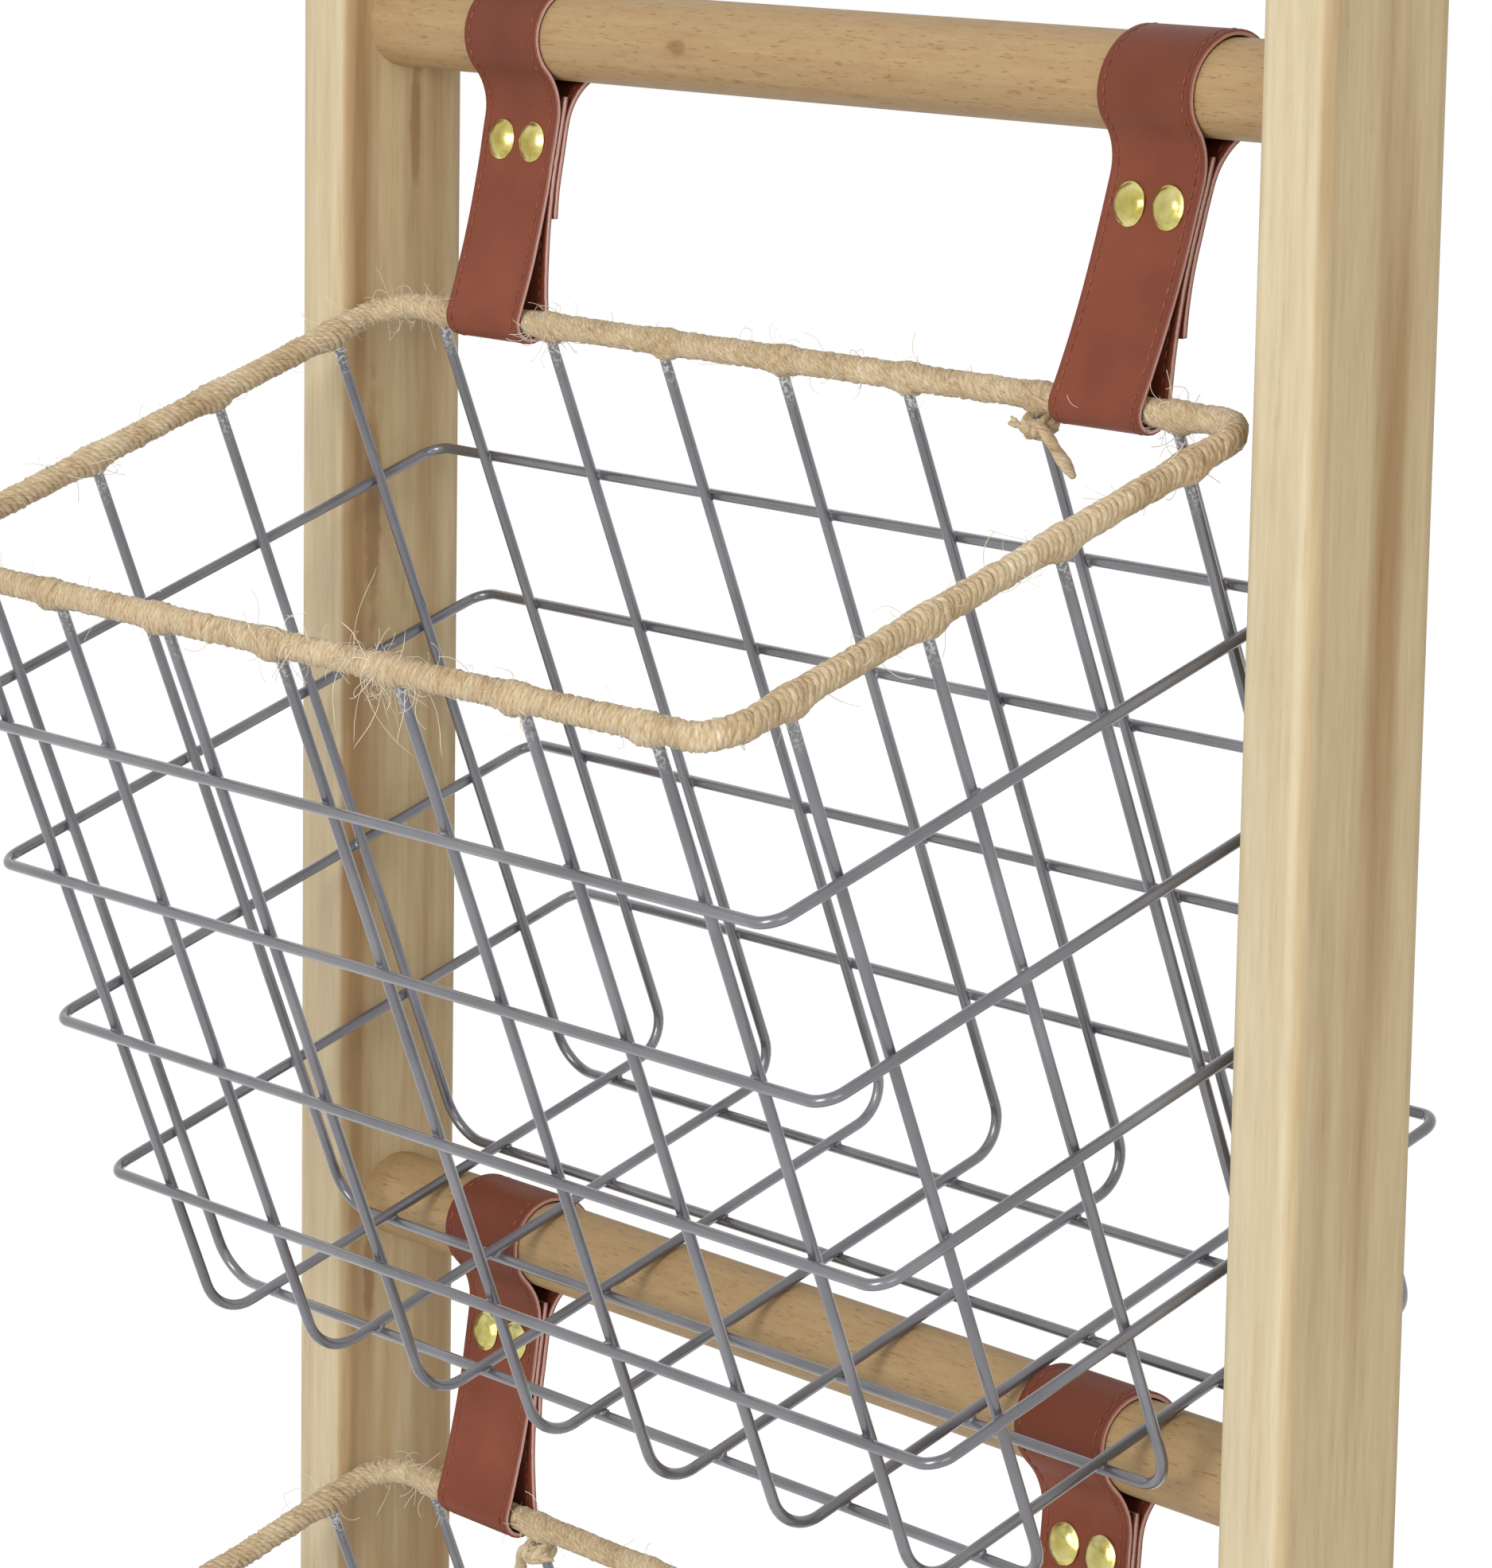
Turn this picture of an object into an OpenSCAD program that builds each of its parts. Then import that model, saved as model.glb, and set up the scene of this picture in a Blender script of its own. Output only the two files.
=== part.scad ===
// Wire basket shelf: a leaning wooden ladder with three wire baskets.
// Each basket hangs from a rung by two leather straps round its back rim
// and rests on the rung below. Millimetres, +Z up, +Y towards the wall.
// Origin: the middle of the footprint, on the floor.

/* [Ladder] */
// height of the whole shelf
height = 1375.4; // [1350:0.1:1400]
// lean of the posts back from upright, degrees
lean = 21; // [18:0.5:23]
// width of a post, along the rungs
post_width = 26; // [22:1:34]
// depth of a post, square to the ladder's plane
post_depth = 48; // [42:1:54]
// rounding of a post's long edges
post_edge = 5; // [2:0.5:8]
// post left above the top rung
top_rise = 150; // [130:2:170]
// from the floor up the post to the lowest rung
first_rung = 150; // [120:1:180]
// thickness of a rung
rung_diameter = 28; // [24:1:30]
// wood left in a post behind a rung's blind hole
blind_wall = 14; // [12:1:16]
// how much the top back corner is cut flat for the wall
wall_cut = 6; // [3:0.5:8]
// gap between a basket's winding and a post
side_gap = 5.2; // [4:0.2:8]

/* [Basket] */
// thickness of the basket wire
wire_diameter = 3.4; // [3:0.1:4]
// number of wires that run from front to back
depth_wire_count = 7; // [5:2:7]
// spacing of the front to back wires
depth_wire_pitch = 58; // [56:1:60]
// spacing of the side to side wires
width_wire_pitch = 48.6; // [47:0.2:50]
// from the last front to back wire to the side uprights
side_space = 27.8; // [24:0.2:32]
// from the last side to side wire to the front or back uprights
end_space = 23.2; // [21:0.2:26]
// bend radius of the wires at the bottom, to the wire's middle
floor_bend = 13; // [8:1:18]
// bend radius of a ring's corner, to the wire's middle
ring_bend = 7; // [5:1:12]
// bend radius of the rim wire's corner, to the wire's middle
rim_bend = 15; // [10:1:20]
// first ring below the rim
ring_1_drop = 52; // [49:1:55]
// second ring below the rim
ring_2_drop = 105; // [102:1:108]
// third ring below the rim
ring_3_drop = 161; // [158:1:164]
// fourth ring below the rim
ring_4_drop = 217; // [214:1:220]

/* [Twine] */
// thickness of the twine over the wires of the rim
twine_cover = 0.9; // [0.8:0.1:1.2]
// size of the knot's lump
knot_diameter = 9; // [8:0.5:10]
// thickness of a loose twine end at the knot
twine_end_diameter = 3; // [2.5:0.1:3.5]
// length of the long loose end
long_end = 20; // [14:1:24]
// length of the short loose end
short_end = 9; // [7:1:12]

/* [Straps] */
// width of a strap
strap_width = 38; // [34:1:42]
// thickness of the leather
leather = 2; // [1.8:0.1:2.1]
// how far forward of the rung below a basket's middle hangs
basket_shift = 2; // [0:0.1:4]
// how far below the rung the back rim hangs
rim_below = 79; // [77:0.1:81]
// slack between a rung and the strap round it
rung_slack = 0.3; // [0.3:0.05:0.5]
// slack between the winding and the strap round it
rim_slack = 0.5; // [0.3:0.1:1]
// from the rung down to the riveted waist
waist_gap = 13; // [12:0.5:14]
// leather of the waist above and below a rivet's cap
waist_margin = 0.5; // [0.5:0.1:1]
// how far the inner layer's end rises above the waist
stub_rise = 8; // [6:0.5:9]
// how far the left strap's free end hangs below the waist
left_tail = 16; // [12:1:24]
// how far the right strap's free end hangs below the waist
right_tail = 28; // [20:1:30]
// bend radius of the free end
tail_bend = 120; // [90:5:150]
// how far the upper left strap has slid to the right on its rung
upper_left_slide = 5; // [0:1:8]
// how far the upper right strap has slid to the right on its rung
upper_right_slide = 14; // [8:1:16]
// how far the middle left strap has slid to the right on its rung
middle_left_slide = 0; // [-2:1:2]
// how far the middle right strap has slid to the right on its rung
middle_right_slide = -6; // [-6:1:0]
// how far the lower left strap has slid to the right on its rung
lower_left_slide = 1; // [-2:1:4]
// how far the lower right strap has slid to the right on its rung
lower_right_slide = -1; // [-4:1:2]

/* [Rivets] */
// width of a rivet's domed cap
cap_diameter = 13; // [11:0.5:13.5]
// height of the dome
cap_height = 2.6; // [2:0.1:3]
// thickness of the cap's rim
cap_rim = 0.5; // [0.4:0.1:0.8]
// thickness of a rivet's shank
shank_diameter = 4; // [3:0.5:5]
// gap between the two caps of a strap
rivet_gap = 3; // [2:0.5:4]

/* [Hidden] */

$fn = 64;
wood_colour = [0.80, 0.69, 0.50];
wire_colour = [0.50, 0.51, 0.54];
twine_colour = [0.71, 0.60, 0.43];
leather_colour = [0.50, 0.27, 0.21];
rivet_colour = [0.80, 0.70, 0.36];

wire_r = wire_diameter / 2;
rung_r = rung_diameter / 2;
// the winding goes round two wires side by side: the rim wire and an upright
wrap_r = wire_diameter + twine_cover;
// how far crossing wires are pressed together at a weld
weld_depth = 0.05;
// how far the uprights rise past the middle of the winding
upright_rise = 0.5;
// room round the wires inside the winding
channel_slack = 0.1;
// overlap that joins two touching pieces of one solid
joining = 0.05;
// reach of a cutting block past what it cuts
clear = 60;

// ladder: a point at a length up the post's middle line
function up_y(t) = t * sin(lean);
function up_z(t) = t * cos(lean);
rungs = 4;
post_length = (height - post_depth / 2 * sin(lean)) / cos(lean);
// the rungs are spaced evenly from the lowest to the highest
rung_step = (post_length - first_rung - top_rise) / (rungs - 1);
function rung_at(k) = first_rung + rung_step * (rungs - k);
rung_socket = post_width - blind_wall;
// the plane of the wall, before the origin is moved to the footprint's middle
wall_y = up_y(post_length) + post_depth / 2 * cos(lean) - wall_cut;
// the wires that run from side to side: the rung below lies between the middle two
width_wire_count = 4;
// the basket's middle to its uprights
half_width = (depth_wire_count - 1) / 2 * depth_wire_pitch + side_space;
half_depth = (width_wire_count - 1) / 2 * width_wire_pitch + end_space;
// the basket's middle to the winding's middle, at the back and at the side
wrap_half_depth = half_depth + wire_r;
wrap_half_width = half_width + wire_r;
// how far forward of its own rung the back rim hangs
rim_forward = up_y(rung_step) + basket_shift - wrap_half_depth;
// the posts stand just clear of the baskets
half_gap = wrap_half_width + wrap_r + side_gap;
post_gap = 2 * half_gap;
front_y = up_y(rung_at(rungs - 1)) - rim_forward - 2 * wrap_half_depth - wrap_r;
shift_y = -(wall_y + front_y) / 2;

// basket: depth of its wires below the rim
floor_drop = rung_at(1) * cos(lean) - rung_at(2) * cos(lean) - rim_below - rung_r - wire_r - rung_slack;
cross_drop = floor_drop + wire_diameter - weld_depth;
// rings and rim wire lie outside the uprights
ring_out = wire_diameter - weld_depth;

module at_rung(k) translate([0, up_y(rung_at(k)) + shift_y, up_z(rung_at(k))]) children();
module at_basket(k) at_rung(k) translate([0, -rim_forward - wrap_half_depth, -rim_below]) children();

// ---- ladder ----
module rounded_section(w, d, r) {
    square([w - 2 * r, d], center = true);
    square([w, d - 2 * r], center = true);
    for (x = [-1, 1], y = [-1, 1]) translate([x * (w / 2 - r), y * (d / 2 - r)]) circle(r);
}

module rung_bar(k) at_rung(k) rotate([0, 90, 0])
    cylinder(r = rung_r, h = post_gap + 2 * rung_socket, center = true);

module post(side) difference() {
    translate([side * (half_gap + post_width / 2), shift_y, 0]) rotate([-lean, 0, 0])
        translate([0, 0, -clear]) linear_extrude(post_length + clear)
            rounded_section(post_width, post_depth, post_edge);
    // level foot
    translate([side * (half_gap + post_width / 2), shift_y, -clear])
        cube([2 * post_width, 4 * post_depth, 2 * clear], center = true);
    // upright rest for the wall
    translate([side * (half_gap + post_width / 2), wall_y + shift_y + clear, up_z(post_length)])
        cube([2 * post_width, 2 * clear, 4 * clear], center = true);
    // blind holes for the rungs
    for (k = [1:rungs]) rung_bar(k);
}

// ---- basket wires ----
// a straight wire from the origin along +Z
module rod(r, h) cylinder(r = r, h = h);

// a quarter bend from +X round to -Z, its middle at the origin
module down_bend(r, bend) rotate([-90, 0, 0]) rotate_extrude(angle = 90) translate([bend, 0]) circle(r);

// a U wire in the XZ plane: two legs, two bends and a floor
module u_wire(half, drop, rise, r, bend) {
    for (s = [0, 1]) mirror([s, 0, 0]) {
        translate([half, 0, -drop + bend]) rod(r, drop - bend + rise);
        translate([half - bend, 0, -drop + bend]) down_bend(r, bend);
    }
    translate([-half + bend, 0, -drop]) rotate([0, 90, 0]) rod(r, 2 * (half - bend));
}

// a closed rounded loop in the XY plane
module loop(half_x, half_y, r, bend) {
    for (s = [0, 1]) {
        mirror([0, s, 0]) translate([half_x - bend, half_y, 0]) rotate([0, -90, 0]) rod(r, 2 * (half_x - bend));
        mirror([s, 0, 0]) translate([half_x, half_y - bend, 0]) rotate([90, 0, 0]) rod(r, 2 * (half_y - bend));
        for (t = [0, 1]) mirror([s, 0, 0]) mirror([0, t, 0])
            translate([half_x - bend, half_y - bend, 0]) rotate_extrude(angle = 90) translate([bend, 0]) circle(r);
    }
}

function depth_x(i) = (i - (depth_wire_count + 1) / 2) * depth_wire_pitch;
function width_y(j) = (j - (width_wire_count + 1) / 2) * width_wire_pitch;

module depth_set() for (i = [1:depth_wire_count]) translate([depth_x(i), 0, 0]) rotate([0, 0, 90])
    u_wire(half_depth, floor_drop, upright_rise, wire_r, floor_bend);

module width_set() for (j = [1:width_wire_count]) translate([0, width_y(j), 0])
    u_wire(half_width, cross_drop, upright_rise, wire_r, floor_bend);

module ring_set() for (d = [ring_1_drop, ring_2_drop, ring_3_drop, ring_4_drop])
    translate([0, 0, -d]) loop(half_width + ring_out, half_depth + ring_out, wire_r, ring_bend);

// ---- rim ----
module rim_loop() loop(half_width + ring_out, half_depth + ring_out, wire_r, rim_bend);

// the winding's outside
wrap_bend = rim_bend - wire_r + weld_depth;
module wrap_loop() loop(wrap_half_width, wrap_half_depth, wrap_r, wrap_bend);

// the room inside the winding for the rim wire and the tops of the uprights
module wrap_plate(reach) rounded_section(2 * (wrap_half_width + reach), 2 * (wrap_half_depth + reach), wrap_bend + reach);
module rim_channel() linear_extrude(wire_diameter + 2 * channel_slack, center = true) difference() {
    wrap_plate(wire_diameter + channel_slack);
    wrap_plate(-wire_diameter - channel_slack);
}

// the uprights come into that room from below
module upright_holes() {
    for (i = [1:depth_wire_count], s = [-1, 1])
        translate([depth_x(i), s * half_depth, -2 * wrap_r]) rod(wire_r, 2 * wrap_r);
    for (j = [1:width_wire_count], s = [-1, 1])
        translate([s * half_width, width_y(j), -2 * wrap_r]) rod(wire_r, 2 * wrap_r);
}

module rim_sleeve() difference() {
    wrap_loop();
    rim_channel();
    upright_holes();
}

// the knot sits under the back rim beside an upright, next to a strap
knot_x = depth_x(depth_wire_count - 1);
module twine_knot(side) difference() {
    translate([side * knot_x, half_depth, -wrap_r - knot_diameter / 4]) {
        sphere(r = knot_diameter / 2);
        rotate([0, 180 - 35, 0]) cylinder(r1 = twine_end_diameter / 2, r2 = twine_end_diameter / 3, h = long_end);
        rotate([0, 180 + 70, 0]) cylinder(r1 = twine_end_diameter / 2, r2 = twine_end_diameter / 3, h = short_end);
    }
    wrap_loop();
    translate([side * knot_x, half_depth, -clear]) rod(wire_r, clear);
}

// ---- straps ----
// Drawn in a plane: x forward, y up, the rung's middle at the origin and
// the rim's middle straight below; then turned to hang forward.
strap_offset = (depth_x(depth_wire_count) + depth_x(depth_wire_count - 1)) / 2;
waist_top = rung_r + waist_gap;
waist_foot = waist_top + cap_diameter + 2 * waist_margin;
inner_end = waist_top - stub_rise;
rivet_pitch = cap_diameter + rivet_gap;
hang = sqrt(rim_forward * rim_forward + rim_below * rim_below);
hang_angle = atan2(rim_forward, rim_below);
layer = leather - joining;
round_rung = rung_r + rung_slack + leather / 2;
round_rim = wrap_r + rim_slack + leather / 2;
// radius of the arc that joins a straight waist layer, offset w, to a circle
// of radius r whose middle is a height h away
function join_radius(w, h, r) = (w * w + h * h - r * r) / (2 * (r - w));
upper_join = join_radius(layer, waist_top, round_rung);
front_join = join_radius(layer, hang - waist_foot, round_rim);
inner_join = join_radius(0, hang - waist_foot, round_rim);
upper_angle = atan2(waist_top, layer + upper_join);
front_angle = atan2(hang - waist_foot, layer + front_join);
inner_angle = atan2(hang - waist_foot, inner_join);

// angle over which the outer and inner run overlap under the rim
run_overlap = 10;

function arc(c, r, a, b, n) = [for (i = [0:n]) c + r * [cos(a + (b - a) * i / n), sin(a + (b - a) * i / n)]];
// drops the last point of a run, so that runs join without doubled points
function head(p) = [for (i = [0:len(p) - 2]) p[i]];

function outer_run(tail) = concat(
    head(arc([-layer - tail_bend, -waist_foot], tail_bend, -asin(tail / tail_bend), 0, 6)),
    [[-layer, -waist_foot]],
    head(arc([-layer - upper_join, -waist_top], upper_join, 0, upper_angle, 10)),
    head(arc([0, 0], round_rung, 180 + upper_angle, -upper_angle, 40)),
    head(arc([layer + upper_join, -waist_top], upper_join, 180 - upper_angle, 180, 10)),
    [[layer, -waist_top]],
    head(arc([layer + front_join, -waist_foot], front_join, 180, 180 + front_angle, 10)),
    arc([0, -hang], round_rim, front_angle, -90, 14)
);
inner_run = concat(
    head(arc([0, -hang], round_rim, -90 + run_overlap, -180 - inner_angle, 16)),
    head(arc([-inner_join, -waist_foot], inner_join, -inner_angle, 0, 10)),
    [[0, -waist_foot], [0, -inner_end]]
);

// a band of the leather's thickness along a run of points
function ahead(p, i) = let (d = p[min(i + 1, len(p) - 1)] - p[max(i - 1, 0)]) d / norm(d);
function side_of(p, s) = [for (i = [0:len(p) - 1]) let (d = ahead(p, i)) p[i] + s * leather / 2 * [-d.y, d.x]];
function reversed(p) = [for (i = [len(p) - 1:-1:0]) p[i]];
module band(p) polygon(concat(side_of(p, 1), reversed(side_of(p, -1))));

// turns the drawing plane upright: x to the front, y up
module upright_plane() rotate([90, 0, -90]) children();

// a strap leans sideways from the rim up to where it has slid on its rung
function slide_at(z, slide) = slide * (rim_below + z) / rim_below;
waist_middle = (waist_top + waist_foot) / 2;
waist_z = -waist_middle * cos(hang_angle);

// the sides of a strap, seen from the front
module strap_sides(slide) rotate([90, 0, 0]) linear_extrude(4 * clear, center = true) polygon([
    for (e = [[-1, -1], [1, -1], [1, 1], [-1, 1]])
        [slide_at(e.y * 2 * clear, slide) + e.x * strap_width / 2, e.y * 2 * clear]
]);

module at_rivets(slide) for (s = [-1, 1]) translate([slide_at(waist_z, slide), 0, 0])
    upright_plane() rotate([0, 0, hang_angle]) translate([0, -waist_middle, s * rivet_pitch / 2])
        rotate([0, 90, 0]) children();

module strap(side, tail, slide) translate([side * strap_offset, 0, 0]) difference() {
    intersection() {
        upright_plane() linear_extrude(strap_width + clear, center = true) rotate(hang_angle) {
            band(outer_run(tail));
            band(inner_run);
        }
        strap_sides(slide);
    }
    at_rivets(slide) cylinder(r = shank_diameter / 2, h = 4 * leather, center = true);
}

// ---- rivets ----
waist_thickness = 2 * layer + leather;
dome_r = (pow(cap_diameter / 2, 2) + pow(cap_height, 2)) / (2 * cap_height);

module cap() {
    cylinder(r = cap_diameter / 2, h = cap_rim);
    translate([0, 0, cap_rim]) intersection() {
        translate([0, 0, cap_height - dome_r]) sphere(r = dome_r);
        cylinder(r = cap_diameter / 2, h = cap_height);
    }
}

module rivets(side, slide) translate([side * strap_offset, 0, 0]) at_rivets(slide) {
    cylinder(r = shank_diameter / 2, h = waist_thickness, center = true);
    for (m = [0, 1]) mirror([0, 0, m]) translate([0, 0, waist_thickness / 2]) cap();
}

// ---- the named pieces ----
module left_post() color(wood_colour) post(-1);
module right_post() color(wood_colour) post(1);
module top_rung() color(wood_colour) rung_bar(1);
module second_rung() color(wood_colour) rung_bar(2);
module third_rung() color(wood_colour) rung_bar(3);
module bottom_rung() color(wood_colour) rung_bar(4);

// upper tier
module upper_left_strap() color(leather_colour) at_rung(1) strap(-1, left_tail, upper_left_slide);
module upper_right_strap() color(leather_colour) at_rung(1) strap(1, right_tail, upper_right_slide);
module upper_left_rivets() color(rivet_colour) at_rung(1) rivets(-1, upper_left_slide);
module upper_right_rivets() color(rivet_colour) at_rung(1) rivets(1, upper_right_slide);
module upper_rim_wire() color(wire_colour) at_basket(1) rim_loop();
module upper_rim_wrap() color(twine_colour) at_basket(1) rim_sleeve();
module upper_wrap_knot() color(twine_colour) at_basket(1) twine_knot(1);
module upper_rings() color(wire_colour) at_basket(1) ring_set();
module upper_depth_wires() color(wire_colour) at_basket(1) depth_set();
module upper_width_wires() color(wire_colour) at_basket(1) width_set();

// middle tier
module middle_left_strap() color(leather_colour) at_rung(2) strap(-1, left_tail, middle_left_slide);
module middle_right_strap() color(leather_colour) at_rung(2) strap(1, right_tail, middle_right_slide);
module middle_left_rivets() color(rivet_colour) at_rung(2) rivets(-1, middle_left_slide);
module middle_right_rivets() color(rivet_colour) at_rung(2) rivets(1, middle_right_slide);
module middle_rim_wire() color(wire_colour) at_basket(2) rim_loop();
module middle_rim_wrap() color(twine_colour) at_basket(2) rim_sleeve();
module middle_wrap_knot() color(twine_colour) at_basket(2) twine_knot(-1);
module middle_rings() color(wire_colour) at_basket(2) ring_set();
module middle_depth_wires() color(wire_colour) at_basket(2) depth_set();
module middle_width_wires() color(wire_colour) at_basket(2) width_set();

// lower tier
module lower_left_strap() color(leather_colour) at_rung(3) strap(-1, left_tail, lower_left_slide);
module lower_right_strap() color(leather_colour) at_rung(3) strap(1, right_tail, lower_right_slide);
module lower_left_rivets() color(rivet_colour) at_rung(3) rivets(-1, lower_left_slide);
module lower_right_rivets() color(rivet_colour) at_rung(3) rivets(1, lower_right_slide);
module lower_rim_wire() color(wire_colour) at_basket(3) rim_loop();
module lower_rim_wrap() color(twine_colour) at_basket(3) rim_sleeve();
module lower_wrap_knot() color(twine_colour) at_basket(3) twine_knot(1);
module lower_rings() color(wire_colour) at_basket(3) ring_set();
module lower_depth_wires() color(wire_colour) at_basket(3) depth_set();
module lower_width_wires() color(wire_colour) at_basket(3) width_set();

// what is drawn
left_post();
right_post();
top_rung();
second_rung();
third_rung();
bottom_rung();
upper_left_strap();
upper_right_strap();
upper_left_rivets();
upper_right_rivets();
upper_rim_wire();
upper_rim_wrap();
upper_wrap_knot();
upper_rings();
upper_depth_wires();
upper_width_wires();
middle_left_strap();
middle_right_strap();
middle_left_rivets();
middle_right_rivets();
middle_rim_wire();
middle_rim_wrap();
middle_wrap_knot();
middle_rings();
middle_depth_wires();
middle_width_wires();
lower_left_strap();
lower_right_strap();
lower_left_rivets();
lower_right_rivets();
lower_rim_wire();
lower_rim_wrap();
lower_wrap_knot();
lower_rings();
lower_depth_wires();
lower_width_wires();
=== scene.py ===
# %% [markdown]
# # A wire basket shelf, dressed in Blender
# The real object is a pine ladder that leans on a wall. Three baskets of
# welded wire hang from its rungs by riveted leather straps, and jute twine is
# wound round the rim of each basket. The solids of wood and wire come from the
# packed CAD model, which stays where it is and only gets materials here. What
# is soft or fine on the real shelf, such as leather, stitches, twine and weld
# spots, is modelled over it in this script.

import math

import bmesh
import bpy
import numpy as np
from mathutils import Matrix, Vector


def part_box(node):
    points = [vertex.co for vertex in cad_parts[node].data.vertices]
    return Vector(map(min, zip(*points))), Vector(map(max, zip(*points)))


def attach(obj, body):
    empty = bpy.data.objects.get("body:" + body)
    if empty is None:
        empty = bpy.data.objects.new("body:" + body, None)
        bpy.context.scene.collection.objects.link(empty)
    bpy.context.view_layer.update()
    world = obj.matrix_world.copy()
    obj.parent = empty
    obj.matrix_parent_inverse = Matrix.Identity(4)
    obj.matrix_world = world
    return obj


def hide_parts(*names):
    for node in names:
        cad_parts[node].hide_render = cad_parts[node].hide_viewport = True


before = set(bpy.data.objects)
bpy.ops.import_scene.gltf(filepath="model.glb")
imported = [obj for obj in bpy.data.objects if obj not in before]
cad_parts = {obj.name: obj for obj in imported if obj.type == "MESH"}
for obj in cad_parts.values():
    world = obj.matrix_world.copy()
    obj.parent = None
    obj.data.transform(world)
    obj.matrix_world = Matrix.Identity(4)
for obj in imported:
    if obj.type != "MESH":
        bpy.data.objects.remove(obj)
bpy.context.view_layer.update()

# %% [markdown]
# The camera stands in front of the shelf, to the right of it and a little
# higher than its posts, and looks down at the upper basket. It is rolled, so
# that the leaning posts stand upright in the picture. Its place, its three axes
# and its lens were found by matching lines of the built shelf with the same
# lines of the photograph.

# %% The camera
CAMERA_PLACE = (1.3779, -0.783825, 1.71067)
CAMERA_RIGHT = (0.618866, 0.738809, -0.266769)
CAMERA_UP = (-0.14433, 0.44079, 0.88593)
CAMERA_BACK = (0.772123, -0.509769, 0.379422)
SENSOR_WIDTH = 36.0  # millimetres
FOCAL_PIXELS = 7500
PICTURE_WIDTH = 1876
FAR_END = 50  # metres

camera_data = bpy.data.cameras.new("view_camera")
camera_data.sensor_fit = "HORIZONTAL"
camera_data.sensor_width = SENSOR_WIDTH
camera_data.lens = SENSOR_WIDTH * FOCAL_PIXELS / PICTURE_WIDTH
camera_data.clip_end = FAR_END
camera = bpy.data.objects.new("view_camera", camera_data)
turn = Matrix((CAMERA_RIGHT, CAMERA_UP, CAMERA_BACK)).transposed()
camera.matrix_world = Matrix.Translation(CAMERA_PLACE) @ turn.to_4x4()
bpy.context.scene.collection.objects.link(camera)
bpy.context.scene.camera = camera
bpy.context.scene.view_settings.view_transform = "Standard"
print("lens, mm:", round(camera_data.lens, 1))

# %% [markdown]
# Every material and every Geometry Nodes tree below is wired in code. A Value
# stands for one output of a node, and arithmetic on it adds the Math node that
# does it, so that a tree reads like a formula.

# %% Values of node trees
class Value:
    def __init__(self, tree, socket):
        self.tree = tree
        self.socket = socket

    def math(self, operation, *others, clamp=False):
        inputs = dict(enumerate((self, *others)))
        return make(self.tree, "ShaderNodeMath", inputs, operation=operation, use_clamp=clamp)

    def vector(self, operation, *others, output=0):
        inputs = dict(enumerate((self, *others)))
        return make(self.tree, "ShaderNodeVectorMath", inputs, output, operation=operation)

    def scaled(self, factor):
        inputs = {0: self, "Scale": factor}
        return make(self.tree, "ShaderNodeVectorMath", inputs, operation="SCALE")

    def axis(self, name):
        return make(self.tree, "ShaderNodeSeparateXYZ", {0: self}, name)

    def clamped(self):
        return self.math("ADD", 0.0, clamp=True)

    def rise(self, start, slope):
        return (self - start).math("MULTIPLY", slope, clamp=True)

    def to(self, socket):
        self.tree.links.new(self.socket, socket)

    def __add__(self, other):
        return self.math("ADD", other)

    def __sub__(self, other):
        return self.math("SUBTRACT", other)

    def __rsub__(self, other):
        return make(self.tree, "ShaderNodeMath", {0: other, 1: self}, operation="SUBTRACT")

    def __mul__(self, other):
        return self.math("MULTIPLY", other)

    def __truediv__(self, other):
        return self.math("DIVIDE", other)

    def __pow__(self, other):
        return self.math("POWER", other)


def add(tree, kind, inputs=None, **options):
    made = tree.nodes.new(kind)
    for name, value in options.items():
        setattr(made, name, value)
    for key, value in (inputs or {}).items():
        if isinstance(value, Value):
            value.to(made.inputs[key])
        else:
            made.inputs[key].default_value = value
    return made


def make(tree, kind, inputs=None, output=0, **options):
    return Value(tree, add(tree, kind, inputs, **options).outputs[output])


print("operations of a Value:", len([name for name in vars(Value) if name != "__init__"]))

# %% [markdown]
# A tree is made with named inputs, whose kind follows from the value that each
# gets. Small helpers then stand for the nodes that many trees share. One of
# them turns a colour as it looks on screen into the linear colour that Blender
# computes with.

# %% Helpers for node trees
SOCKET_KINDS = {float: "Float", int: "Int", tuple: "Vector", bpy.types.Material: "Material",
                type(None): "Object"}


def add_inputs(tree, inputs):
    for label, value in inputs.items():
        kind = "NodeSocket" + SOCKET_KINDS[type(value)]
        socket = tree.interface.new_socket(name=label, in_out="INPUT", socket_type=kind)
        if value is not None:
            socket.default_value = value
    arriving = tree.nodes.new("NodeGroupInput").outputs
    leaving = tree.nodes.new("NodeGroupOutput").inputs
    return tree, {socket.name: Value(tree, socket) for socket in arriving}, leaving


def new_group(name, inputs, outputs):
    tree = bpy.data.node_groups.new(name, "ShaderNodeTree")
    for label in outputs:
        tree.interface.new_socket(name=label, in_out="OUTPUT", socket_type="NodeSocketFloat")
    return add_inputs(tree, inputs)


def use_group(tree, group, inputs):
    made = add(tree, "ShaderNodeGroup", inputs, node_tree=group)
    return {socket.name: Value(tree, socket) for socket in made.outputs}


def new_material(name, roughness, metallic=0.0, **constants):
    material = bpy.data.materials.new(name)
    material.use_nodes = True
    shader = material.node_tree.nodes["Principled BSDF"]
    constants = {"Roughness": roughness, "Metallic": metallic, **constants}
    for label, value in constants.items():
        shader.inputs[label.replace("_", " ")].default_value = value
    return material, material.node_tree, shader


def plug(shader, **values):
    for label, value in values.items():
        value.to(shader.inputs[label.replace("_", " ")])


def screen(red, green, blue):
    linear = [v / 12.92 if v <= 0.04045 else ((v + 0.055) / 1.055) ** 2.4
              for v in (red / 255, green / 255, blue / 255)]
    return (*linear, 1.0)


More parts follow.
